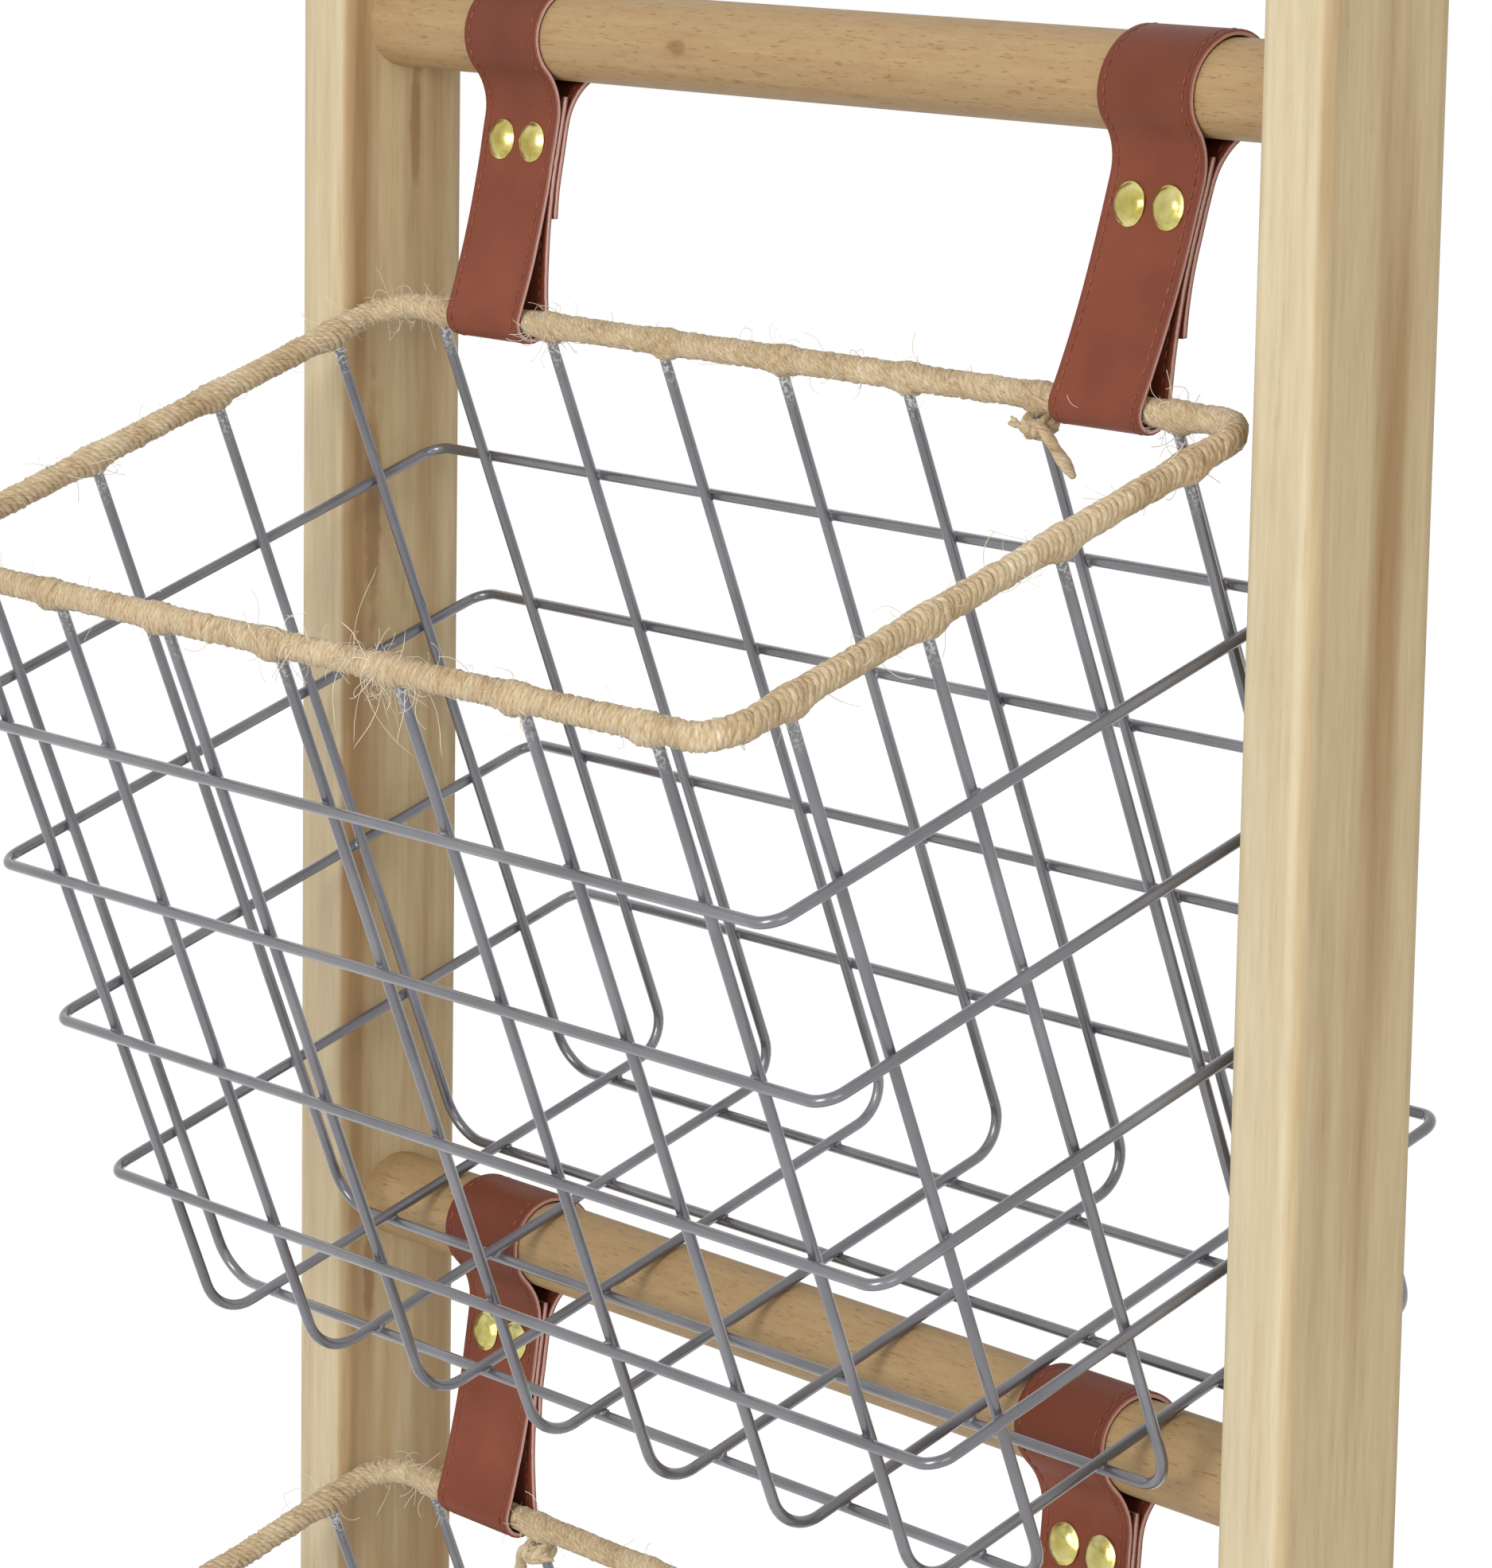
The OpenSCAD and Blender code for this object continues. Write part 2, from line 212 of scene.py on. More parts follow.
def ramp(tree, factor, *stops):
    made = add(tree, "ShaderNodeValToRGB", {"Fac": factor})
    elements = made.color_ramp.elements
    for element, (place, colour) in zip(elements, (stops[0], stops[-1])):
        element.position = place
        element.color = colour
    for place, colour in stops[1:-1]:
        elements.new(place).color = colour
    return Value(tree, made.outputs["Color"])


def mix(tree, factor, first, second, blend="MIX"):
    inputs = {"Factor": factor, "A": first, "B": second}
    return make(tree, "ShaderNodeMix", inputs, "Result", data_type="RGBA", blend_type=blend)


def noise(tree, where, scale, detail, output="Fac", **more):
    inputs = {"Vector": where, "Scale": scale, "Detail": detail, **more}
    return make(tree, "ShaderNodeTexNoise", inputs, output)


def bump(tree, height, strength, distance):
    return make(tree, "ShaderNodeBump", {"Strength": strength, "Distance": distance, "Height": height})


def object_place(tree):
    return make(tree, "ShaderNodeTexCoord", output="Object")


def attribute(tree, name, output="Vector"):
    return make(tree, "ShaderNodeAttribute", output=output, attribute_name=name)


def cover(node_names, material):
    for name in node_names:
        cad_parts[name].data.materials.clear()
        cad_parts[name].data.materials.append(material)


print("mid grey on screen, linear:", round(screen(128, 128, 128)[0], 3))

# %% [markdown]
# ## The wood
# Both the sawn posts and the turned rungs are pale wood, whose figure runs
# through the whole piece: what shows on a face is a cut through long yearly
# rings. So the pattern is computed in space, from the distance to a pith line
# that wanders a little, and not painted on each face. The group below gives
# that figure, the fine fibres along the grain, short pores and broad stains. It
# takes coordinates whose Z runs along the grain.

# %% Shader group: timber figure
timber, given, result = new_group(
    "timber_figure",
    {"Vector": (0.0, 0.0, 0.0), "Pith X": 0.05, "Pith Y": 0.08, "Ring Width": 0.004,
     "Wander": 0.02, "Fleck": 0.5, "Streak": 14.0},
    ("Ring", "Fibre", "Stain", "Height"))
drift = noise(timber, given["Vector"].vector("MULTIPLY", (7, 7, 1.6)), 1.0, 2.0, "Color")
shift = drift.vector("SUBTRACT", (0.5, 0.5, 0.5)).scaled(given["Wander"])
bent = given["Vector"].vector("ADD", shift)
flat = make(timber, "ShaderNodeCombineXYZ",
            {"X": bent.axis("X") - given["Pith X"], "Y": bent.axis("Y") - given["Pith Y"]})
from_pith = flat.vector("LENGTH", output="Value")
rings = from_pith / given["Ring Width"] + noise(timber, flat, 60.0, 2.0) * 3.0
late = rings.math("FRACT") ** 1.6
soft = late * (1.0 - late ** 5.0)
shown = noise(timber, flat, 34.0, 1.0).rise(0.36, 3.0)
(soft * (shown * 1.25)).clamped().to(result["Ring"])

stretch = make(timber, "ShaderNodeCombineXYZ", {"X": 520.0, "Y": 520.0, "Z": given["Streak"]})
fibre = noise(timber, given["Vector"].vector("MULTIPLY", stretch), 1.0, 3.0, Roughness=0.6)
pore = noise(timber, given["Vector"].vector("MULTIPLY", (1500, 1500, 210)), 1.0, 1.0)
fine = fibre + pore.rise(0.60, 4.0) * given["Fleck"]
fine.to(result["Fibre"])
(1.0 - fine).to(result["Height"])

stain = noise(timber, given["Vector"].vector("MULTIPLY", (58, 58, 2.4)), 1.0, 2.5)
stain.rise(0.47, 4.5).to(result["Stain"])
print("timber group:", len(timber.nodes), "nodes")

# %% [markdown]
# A knot is where a branch left the trunk. On this pine the knots are soft brown
# veins, drawn out along the grain, with a halo of darker wood. Each wood
# material adds its own few knots, at given points of the shelf, through this
# second group, which turns the distance to such a point into a core and a halo.

# %% Shader group: one knot
knot_group, given, result = new_group(
    "wood_knot",
    {"Vector": (0.0, 0.0, 0.0), "Place": (0.0, 0.0, 0.0), "Squeeze": (1.0, 1.0, 0.4),
     "Turn": (0.0, 0.0, 0.0), "Size": 0.006},
    ("Core", "Halo"))
away = given["Vector"].vector("SUBTRACT", given["Place"])
away = make(knot_group, "ShaderNodeVectorRotate", {"Vector": away, "Rotation": given["Turn"]},
            rotation_type="EULER_XYZ")
away = away.vector("MULTIPLY", given["Squeeze"])
rough = noise(knot_group, given["Vector"], 160.0, 2.0) - 0.5
gap = away.vector("LENGTH", output="Value") + rough * (given["Size"] * 0.9)
near = gap / given["Size"]
(1.0 - near).clamped().math("MULTIPLY", 2.5, clamp=True).to(result["Core"])
((1.0 - near / 3.2).clamped() ** 2.0).to(result["Halo"])
print("knot group:", len(knot_group.nodes), "nodes")

# %% [markdown]
# The posts lean back, and their grain leans with them, so the coordinates are
# turned by the lean before they reach the groups. The narrow front faces are
# quarter sawn and pale. The wide side faces show long brown flames, and a
# painted shade makes them darker too, so the object's own normal tells the
# two apart. A little bump follows the fibres, because planed pine is never
# quite flat.

# %% Material: pine of the posts
LEAN = math.radians(21)
POST_COLOURS = (screen(216, 201, 168), screen(204, 181, 139), screen(166, 131, 90))  # pale, warm, deep
# painted shade: the wide side faces are multiplied by this tint to make them darker
SIDE_SHADE = (0.90, 0.84, 0.76, 1)
KNOT_HALO = screen(164, 124, 80)
KNOT_CORE = screen(120, 80, 48)
HALO_SHARE = 0.5
CORE_SHARE = 0.42
# the tint of the fibres, from the palest to the dark pores
FIBRE_TINTS = ((0.32, (1.04, 1.04, 1.03, 1)), (0.62, (0.95, 0.93, 0.90, 1)), (1.0, (0.72, 0.64, 0.54, 1)))


def wood(name, rotation, figure, knots, colours, deep_share, roughness, side_shade=(1, 1, 1, 1)):
    material, tree, shader = new_material(name, roughness, Specular_IOR_Level=0.22)
    place = object_place(tree)
    along = make(tree, "ShaderNodeMapping", {"Vector": place, "Rotation": rotation})
    grain = use_group(tree, timber, {"Vector": along, **figure})
    pale, warm, deep = colours
    side = make(tree, "ShaderNodeTexCoord", output="Normal").axis("X").math("ABSOLUTE").rise(0.5, 4.0)
    flame = grain["Stain"] * (side * 0.6 + 0.4) * deep_share
    base = mix(tree, flame, mix(tree, grain["Ring"], pale, warm), deep)
    base = mix(tree, 1.0, base, ramp(tree, grain["Fibre"], *FIBRE_TINTS), "MULTIPLY")
    # painted shade: the side faces, found by the normal, are darkened by the side tint
    colour = mix(tree, side, base, mix(tree, 1.0, base, side_shade, "MULTIPLY"))
    for spot, size, squeeze in knots:
        knot = use_group(tree, knot_group, {
            "Vector": place, "Place": spot, "Squeeze": squeeze, "Turn": rotation, "Size": size})
        colour = mix(tree, knot["Halo"] * HALO_SHARE, colour, KNOT_HALO)
        colour = mix(tree, knot["Core"] * CORE_SHARE, colour, KNOT_CORE)
    plug(shader, Base_Color=colour, Normal=bump(tree, grain["Height"], 0.35, 0.0004))
    return material


POST_FIGURE = {"Pith X": 0.02, "Pith Y": 0.35, "Ring Width": 0.0085, "Wander": 0.05, "Fleck": 0.16,
               "Streak": 34.0}
POST_KNOTS = [((-0.213, 0.2175, 1.195), 0.0024, (1, 1, 0.09)), ((-0.213, 0.158, 1.085), 0.0035, (1, 1, 0.08)),
              ((-0.213, 0.066, 0.845), 0.0025, (1, 1, 0.12))]
pine = wood("pine", (LEAN, 0, 0), POST_FIGURE, POST_KNOTS, POST_COLOURS, 0.78, 0.55, SIDE_SHADE)
cover([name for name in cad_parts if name.endswith("post")], pine)
print("pine:", len(pine.node_tree.nodes), "nodes")

# %% [markdown]
# The rungs are dowels of a closer wood. Their grain runs from post to post, and
# short dark pores lie all over them, which show as small dashes.

# %% Material: dowel wood of the rungs
RUNG_FIGURE = {"Pith X": 0.05, "Pith Y": 0.06, "Ring Width": 0.013, "Wander": 0.06, "Fleck": 0.9,
               "Streak": 70.0}
RUNG_KNOTS = [((-0.052, 0.2125, 1.2322), 0.0030, (1, 1, 0.55))]
RUNG_COLOURS = (screen(184, 155, 114), screen(174, 143, 101), screen(152, 117, 79))
dowel = wood("dowel", (0, math.radians(90), 0), RUNG_FIGURE, RUNG_KNOTS, RUNG_COLOURS, 0.6, 0.5)
cover([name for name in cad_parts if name.endswith("rung")], dowel)
print("dowel:", len(dowel.node_tree.nodes), "nodes")

# %% [markdown]
# ## The wire
# The baskets are mild steel with a thin grey paint under a clear coat. The
# paint is cloudy, and just below each rim it is scuffed to pale specks. A
# shared group gives cloudy mottling at two sizes, and the leather, the brass
# and the jute use it too.

# %% Shader group: cloudy mottling
mottle, given, result = new_group(
    "cloudy_mottle", {"Vector": (0.0, 0.0, 0.0), "Large": 30.0, "Small": 600.0}, ("Cloud", "Speck", "Both"))
cloud = noise(mottle, given["Vector"], given["Large"], 3.0)
speck = noise(mottle, given["Vector"], given["Small"], 2.0)
cloud.to(result["Cloud"])
speck.to(result["Speck"])
(cloud * 0.6 + speck * 0.4).to(result["Both"])


def mottled(tree, large, small):
    return use_group(tree, mottle, {"Vector": object_place(tree), "Large": large, "Small": small})


print("mottle group:", len(mottle.nodes), "nodes")

# %% Material: grey paint on the wire
TIERS = {"upper": "top_rung", "middle": "second_rung", "lower": "third_rung"}
WIRE_NODES = ("rim_wire", "rings", "depth_wires", "width_wires")
SCUFF_REACH = 0.011  # metres above and below the lower side of a winding

wire_paint, tree, shader = new_material(
    "wire_paint", 0.34, 0.35, Specular_IOR_Level=0.5, Coat_Weight=0.9, Coat_Roughness=0.12, Coat_IOR=1.65)
cloudy = mottled(tree, 30.0, 260.0)
tint = ramp(tree, cloudy["Cloud"], (0.34, screen(90, 89, 95)), (0.52, screen(104, 103, 109)),
            (0.70, screen(120, 120, 126)))
height = object_place(tree).axis("Z")
near_rim = 0.0
for tier in TIERS:
    low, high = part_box(f"{tier}_rim_wrap")
    near_rim = (1.0 - (low.z - height).math("ABSOLUTE") / SCUFF_REACH).clamped() + near_rim
scuffs = noise(tree, object_place(tree), 900.0, 2.0).rise(0.48, 7.0)
tint = mix(tree, (scuffs * near_rim).clamped(), tint, screen(206, 204, 200))
plug(shader, Base_Color=tint, Roughness=cloudy["Cloud"] * 0.24 + 0.22,
     Normal=bump(tree, cloudy["Speck"], 0.05, 0.0001))
wires = [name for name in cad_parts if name.split("_", 1)[1] in WIRE_NODES]
cover(wires, wire_paint)
print("paint on", len(wires), "nodes")

# %% [markdown]
# ## Leather, thread and brass
# The straps are bonded leather: a smooth, slightly waxy brown face with a fine
# pebble grain, and a paler layered cut along both edges. The mesh of a strap
# carries an attribute with the place along the strip, across it and through its
# thickness, so that one material can darken the face near the edges and paint
# shade on it round the rung, and another can draw the layers of the cut.

# %% Materials: leather face, cut edge and thread
EDGE_START = 0.0172  # metres from the strip's middle line
RUNG_PLACE = 0.088  # metres along the strip, about where it passes over the rung
RUNG_SHADE_REACH = 0.056  # metres along the strip, to both sides of that place

leather, tree, shader = new_material("leather_face", 0.44, Specular_IOR_Level=0.2)
cloudy = mottled(tree, 34.0, 1500.0)
tint = ramp(tree, cloudy["Cloud"], (0.30, screen(120, 61, 41)), (0.52, screen(129, 67, 46)),
            (0.75, screen(138, 74, 52)))
strip = attribute(tree, "strip_place")
edge_band = strip.axis("Y").math("ABSOLUTE").rise(EDGE_START, 700.0)
tint = mix(tree, edge_band * 0.45, tint, screen(96, 42, 30))
# painted shade: the face is made darker along the strip where it passes over and round the rung
from_rung = (strip.axis("X") - RUNG_PLACE).math("ABSOLUTE")
rung_shade = (RUNG_SHADE_REACH - from_rung).math("MULTIPLY", 45.0, clamp=True)
tint = mix(tree, rung_shade * 0.5, tint, screen(98, 48, 32))
pebble = make(tree, "ShaderNodeTexVoronoi", {"Vector": object_place(tree), "Scale": 1700.0}, "Distance",
              feature="SMOOTH_F1")
plug(shader, Base_Color=tint, Roughness=cloudy["Speck"] * 0.20 + 0.40,
     Normal=bump(tree, pebble + cloudy["Cloud"] * 2.0, 0.22, 0.0002))

cut_edge, tree, shader = new_material("leather_cut", 0.62)
frayed = mottled(tree, 300.0, 2400.0)
layer = attribute(tree, "strip_place").axis("Z") + (frayed["Both"] * 0.36 - 0.18)
plug(shader, Base_Color=ramp(
    tree, layer, (0.10, screen(130, 70, 54)), (0.20, screen(222, 184, 172)), (0.60, screen(208, 160, 146)),
    (0.74, screen(132, 68, 54)), (0.92, screen(156, 92, 74))))

thread, tree, shader = new_material("strap_thread", 0.7)
worn = mottled(tree, 260.0, 2600.0)
plug(shader, Base_Color=ramp(tree, worn["Both"], (0.35, screen(104, 50, 34)), (0.65, screen(160, 96, 70))))
print("leather, cut edge and thread ready")

# %% [markdown]
# The rivet caps are thin pressed brass, polished and a little dented. The dents
# are in the mesh. The material is clean metal with a faint brushed haze, and a
# painted dark reflection near the middle of each cap.

# %% Material: brass
brass, tree, shader = new_material("brass", 0.16, 1.0)
haze = mottled(tree, 150.0, 2200.0)
tint = ramp(tree, haze["Cloud"], (0.36, screen(182, 166, 88)), (0.50, screen(208, 196, 118)),
            (0.62, screen(226, 218, 152)))
# painted dark reflection: the colour grows darker towards the middle of each cap
middle = (1.0 - attribute(tree, "cap_place", "Fac")).math("MULTIPLY", 0.55, clamp=True)
tint = mix(tree, middle * (haze["Cloud"] * 1.8), tint, screen(140, 124, 52))
plug(shader, Base_Color=tint, Roughness=haze["Both"] * 0.20 + 0.14)
print("brass ready")

# %% [markdown]
# ## Jute
# Jute is a pale straw fibre, spun into a soft hairy twine. Each turn of the
# winding shows fine fibres that run along the twine at a slant, lighter crowns
# and brown gaps between the turns. The strand's mesh carries the length along
# it and the place around it, so that the fibres follow the strand.

# %% Materials: jute twine and its loose fibres
TWIST = 620.0  # radians in a metre of twine

jute, tree, shader = new_material("jute_twine", 0.86, Specular_IOR_Level=0.25, Sheen_Weight=0.25)
strand = attribute(tree, "strand_place")
turned = make(tree, "ShaderNodeVectorRotate", {"Vector": strand, "Angle": strand.axis("Z") * TWIST},
              rotation_type="Z_AXIS")
fibres = noise(tree, turned.vector("MULTIPLY", (2.6, 2.6, 150.0)), 1.0, 3.0, Roughness=0.62)
patch = mottled(tree, 55.0, 420.0)
tint = ramp(tree, fibres * 0.55 + patch["Both"] * 0.45, (0.34, screen(146, 116, 80)),
            (0.45, screen(190, 164, 126)), (0.55, screen(212, 191, 154)), (0.68, screen(240, 226, 198)))
plug(shader, Base_Color=tint, Normal=bump(tree, fibres, 0.6, 0.0004))

fibre_hair, tree, shader = new_material("jute_fibre", 0.7)
pale = mottled(tree, 90.0, 300.0)
tint = ramp(tree, pale["Both"], (0.35, screen(232, 214, 180)), (0.62, screen(254, 248, 232)))
plug(shader, Base_Color=tint)
print("jute ready")

# %% [markdown]
# ## Places taken from the frame
# Everything soft sits on the solids of the CAD model, so its places come from
# the boxes of those solids. Only the small sizes that a box can't tell, such as
# bend radii and the straps' own measures, are repeated here from the part's
# source, in metres.

# %% Places and sizes
MM = 0.001
WIRE_R = 1.7 * MM  # _R is a radius
WRAP_R = 4.3 * MM
WRAP_BEND = 13.35 * MM
RUNG_R = 14 * MM
WIRE_PITCH = 58 * MM
CROSS_PITCH = 48.6 * MM


def middle_of(node_name):
    low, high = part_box(node_name)
    return (low + high) / 2


RIMS = {tier: middle_of(f"{tier}_rim_wrap") for tier in TIERS}
RUNGS = {tier: middle_of(rung) for tier, rung in TIERS.items()}
low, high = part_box("upper_rim_wrap")
HALF_X = (high.x - low.x) / 2 - WRAP_R
HALF_Y = (high.y - low.y) / 2 - WRAP_R
COLUMNS = [(i - 3) * WIRE_PITCH for i in range(7)]
ROWS = [(j - 1.5) * CROSS_PITCH for j in range(4)]
for tier in TIERS:
    print(tier, "rim at", [round(v, 4) for v in RIMS[tier]], "rung at", [round(v, 4) for v in RUNGS[tier]])
print("middle of the winding, half size:", round(HALF_X, 4), round(HALF_Y, 4))

# %% [markdown]
# Finished pieces are plain meshes. One helper makes a mesh object from points
# and faces. Another takes the evaluated result of an object with a Geometry
# Nodes modifier, makes it the object's own mesh, and removes the modifier.

# %% Helpers for meshes
def mesh_object(name, points, faces=(), edges=(), smooth=True):
    mesh = bpy.data.meshes.new(name)
    mesh.from_pydata([tuple(map(float, p)) for p in points], edges, faces)
    mesh.update()
    if smooth and len(faces):
        mesh.polygons.foreach_set("use_smooth", [True] * len(mesh.polygons))
    made = bpy.data.objects.new(name, mesh)
    bpy.context.scene.collection.objects.link(made)
    return made


def point_attribute(item, name, values, kind="FLOAT"):
    layer = item.data.attributes.new(name, kind, "POINT")
    key = "vector" if kind == "FLOAT_VECTOR" else "value"
    layer.data.foreach_set(key, np.asarray(values, np.float32).ravel())


def point_outwards(item):
    work = bmesh.new()
    work.from_mesh(item.data)
    bmesh.ops.recalc_face_normals(work, faces=work.faces[:])
    work.to_mesh(item.data)
    work.free()


def lengths_along(path):
    return np.concatenate([[0], np.cumsum(np.linalg.norm(np.diff(path, axis=0), axis=1))])


def at_lengths(wanted, length, path):
    return np.stack([np.interp(wanted, length, path[:, k]) for k in (0, 1)], 1)


def headings(path):
    ahead = np.gradient(path, axis=0)
    return ahead / np.linalg.norm(ahead, axis=1)[:, None]


def grow(item, tree, **values):
    modifier = item.modifiers.new("grow", "NODES")
    modifier.node_group = tree
    sockets = {s.name: s.identifier for s in tree.interface.items_tree if s.in_out == "INPUT"}
    for label, value in values.items():
        modifier[sockets[label.replace("_", " ")]] = value
    graph = bpy.context.evaluated_depsgraph_get()
    grown = item.evaluated_get(graph)
    mesh = bpy.data.meshes.new_from_object(grown, preserve_all_data_layers=True, depsgraph=graph)
    item.modifiers.remove(modifier)
    item.data = mesh
    mesh.name = item.name


print("mesh helpers ready")

# %% [markdown]
# Each Geometry Nodes tree has named inputs and ends with real, painted meshes.

# %% Helpers for Geometry Nodes
def new_tree(name, inputs):
    tree = bpy.data.node_groups.new(name, "GeometryNodeTree")
    for way in ("INPUT", "OUTPUT"):
        tree.interface.new_socket(name="Geometry", in_out=way, socket_type="NodeSocketGeometry")
    return add_inputs(tree, inputs)


def field(tree, name, kind="FLOAT"):
    return make(tree, "GeometryNodeInputNamedAttribute", {"Name": name}, data_type=kind)


def store(tree, geometry, name, value, kind="FLOAT"):
    inputs = {"Geometry": geometry, "Name": name, "Value": value}
    return make(tree, "GeometryNodeStoreNamedAttribute", inputs, data_type=kind, domain="POINT")


def random_value(tree, low, high, seed):
    if isinstance(low, tuple):
        inputs = {0: low, 1: high, "Seed": seed}
        return make(tree, "FunctionNodeRandomValue", inputs, 0, data_type="FLOAT_VECTOR")
    return make(tree, "FunctionNodeRandomValue", {2: low, 3: high, "Seed": seed}, 1, data_type="FLOAT")


def upright_along(tree, direction):
    return make(tree, "FunctionNodeAlignEulerToVector", {"Vector": direction}, axis="Z")


def rounded(tree, geometry):
    return make(tree, "GeometryNodeSetShadeSmooth", {"Geometry": geometry})


def seal(tree, geometry, material, output):
    whole = make(tree, "GeometryNodeRealizeInstances", {"Geometry": geometry})
    make(tree, "GeometryNodeSetMaterial", {"Geometry": whole, "Material": material}).to(output)


print("tree helpers ready")

# %% [markdown]
# ## The straps
# A strap is one strip of leather in a figure of eight. It starts as a free tail
# behind the rivets, goes up the back and over the rung, comes down in front,
# passes between the rivets' caps, goes round the rim from below, and ends
# between the two outer layers as a short stub above the waist. Its path is the
# one that the CAD source draws, made of straight waist layers and tangent arcs.
# The left tail is shorter than the right one, and each strap's top has slid
# along its rung by its own amount.

# %% The path of a strap, seen from its side
LEATHER = 2.0 * MM  # thickness in the CAD model
LAYER = 1.95 * MM  # from the middle of one layer to that of the next
STRIP = 1.9 * MM  # thickness of the strip made here
STRAP_WIDTH = 38 * MM
STRAP_X = 145 * MM
PATH_STEP = 1.9 * MM
RIM_FORWARD = RUNGS["upper"].y - RIMS["upper"].y - HALF_Y
RIM_BELOW = RUNGS["upper"].z - RIMS["upper"].z
HANG = math.hypot(RIM_FORWARD, RIM_BELOW)
HANG_ANGLE = math.atan2(RIM_FORWARD, RIM_BELOW)
ROUND_RUNG = RUNG_R + 0.3 * MM + LEATHER / 2
ROUND_RIM = WRAP_R + 0.5 * MM + LEATHER / 2
WAIST_TOP = RUNG_R + 13 * MM
WAIST_FOOT = WAIST_TOP + 14 * MM
WAIST_MIDDLE = (WAIST_TOP + WAIST_FOOT) / 2
INNER_END = WAIST_TOP - 8 * MM
TAIL_BEND = 120 * MM
TAILS = {"left": 16 * MM, "right": 28 * MM}
SLIDES = {("upper", "left"): 5 * MM, ("upper", "right"): 14 * MM, ("middle", "left"): 0.0,
          ("middle", "right"): -6 * MM, ("lower", "left"): 1 * MM, ("lower", "right"): -1 * MM}


def strap_x(tier, side, height):
    share = 1 + (height - RUNGS[tier].z) / RIM_BELOW
    return STRAP_X * (1 if side == "right" else -1) + SLIDES[tier, side] * share


def join_radius(offset, height, radius):
    return (offset ** 2 + height ** 2 - radius ** 2) / (2 * (radius - offset))


def arc(middle, radius, first, last, count):
    turn = np.linspace(first, last, count)
    return np.stack([middle[0] + radius * np.cos(turn), middle[1] + radius * np.sin(turn)], 1)


def strap_path(tail):
    foot_height = HANG - WAIST_FOOT
    upper = join_radius(LAYER, WAIST_TOP, ROUND_RUNG)
    front = join_radius(LAYER, foot_height, ROUND_RIM)
    inner = join_radius(0, foot_height, ROUND_RIM)
    a_upper = math.atan2(WAIST_TOP, LAYER + upper)
    a_front = math.atan2(foot_height, LAYER + front)
    a_inner = math.atan2(foot_height, inner)
    path = np.concatenate([
        arc((-LAYER - TAIL_BEND, -WAIST_FOOT), TAIL_BEND, -math.asin(tail / TAIL_BEND), 0, 12),
        arc((-LAYER - upper, -WAIST_TOP), upper, 0, a_upper, 16),
        arc((0, 0), ROUND_RUNG, math.pi + a_upper, -a_upper, 60),
        arc((LAYER + upper, -WAIST_TOP), upper, math.pi - a_upper, math.pi, 16),
        arc((LAYER + front, -WAIST_FOOT), front, math.pi, math.pi + a_front, 16),
        arc((0, -HANG), ROUND_RIM, a_front, -math.pi - a_inner, 48),
        arc((-inner, -WAIST_FOOT), inner, -a_inner, 0, 16),
        [[0, -WAIST_FOOT], [0, -INNER_END]]])
    moved = np.linalg.norm(np.diff(path, axis=0), axis=1) > 0.001 * MM
    path = path[np.append(True, moved)]
    length = lengths_along(path)
    along = np.linspace(0, length[-1], int(length[-1] / PATH_STEP))
    across, up = at_lengths(along, length, path).T
    cosine, sine = math.cos(HANG_ANGLE), math.sin(HANG_ANGLE)
    turned = np.stack([across * cosine - up * sine, across * sine + up * cosine], 1)
    return along, turned, headings(turned)


for side, tail in TAILS.items():
    print(side, "strip length, mm:", round(strap_path(tail)[0][-1] / MM, 1))

# %% [markdown]
# A section is swept along the path. It is 38 mm wide, with a bevel at each
# corner and a fine groove 3 mm inside each edge on both faces. A smooth noise
# lets the thickness and the edges breathe a little, and the face sinks slightly
# round each rivet, so the strap isn't a machine-perfect band.

# %% Sweep the section along the path
STITCH_LINE = 16 * MM
HALF_W = STRAP_WIDTH / 2 - 0.2 * MM
HALF_T = STRIP / 2
BEVEL = 0.42 * MM
RIVET_OFFSET = 8 * MM
RIVET_DENT = 0.22 * MM
DENT_RADIUS = 6.2 * MM
DENT_WIDTH = 1.6 * MM
THICKNESS_CHANGE = 0.02
THICKNESS_WAVE = 14 * MM
EDGE_CHANGE = 0.12 * MM
EDGE_WAVE = 9 * MM
GROOVE = [(-0.8, 0), (-0.35, 0.16), (0, 0.26), (0.35, 0.16), (0.8, 0)]  # millimetres across, deep


def strip_section():
    face = [(HALF_W - BEVEL, 0.0)]
    face += [(STITCH_LINE - u * MM, d * MM) for u, d in GROOVE]
    face += [(u * MM, 0.0) for u in np.linspace(14, -14, 15)]
    face += [(-STITCH_LINE - u * MM, d * MM) for u, d in GROOVE]
    face += [(-HALF_W + BEVEL, 0.0)]
    corner = (HALF_W - 0.12 * MM, HALF_T - 0.13 * MM)
    edge = [(-corner[0], corner[1]), (-HALF_W, HALF_T - BEVEL), (-HALF_W, 0),
            (-HALF_W, BEVEL - HALF_T), (-corner[0], -corner[1])]
    half = [(u, HALF_T - d) for u, d in face] + edge
    return np.array(half + [(-u, -v) for u, v in half])


def smooth_noise(seed, size, wavelength, values):
    pick = np.random.default_rng(seed)
    knots = np.arange(values.min() - wavelength, values.max() + 2 * wavelength, wavelength)
    return size * np.interp(values, knots, pick.uniform(-1, 1, len(knots)))


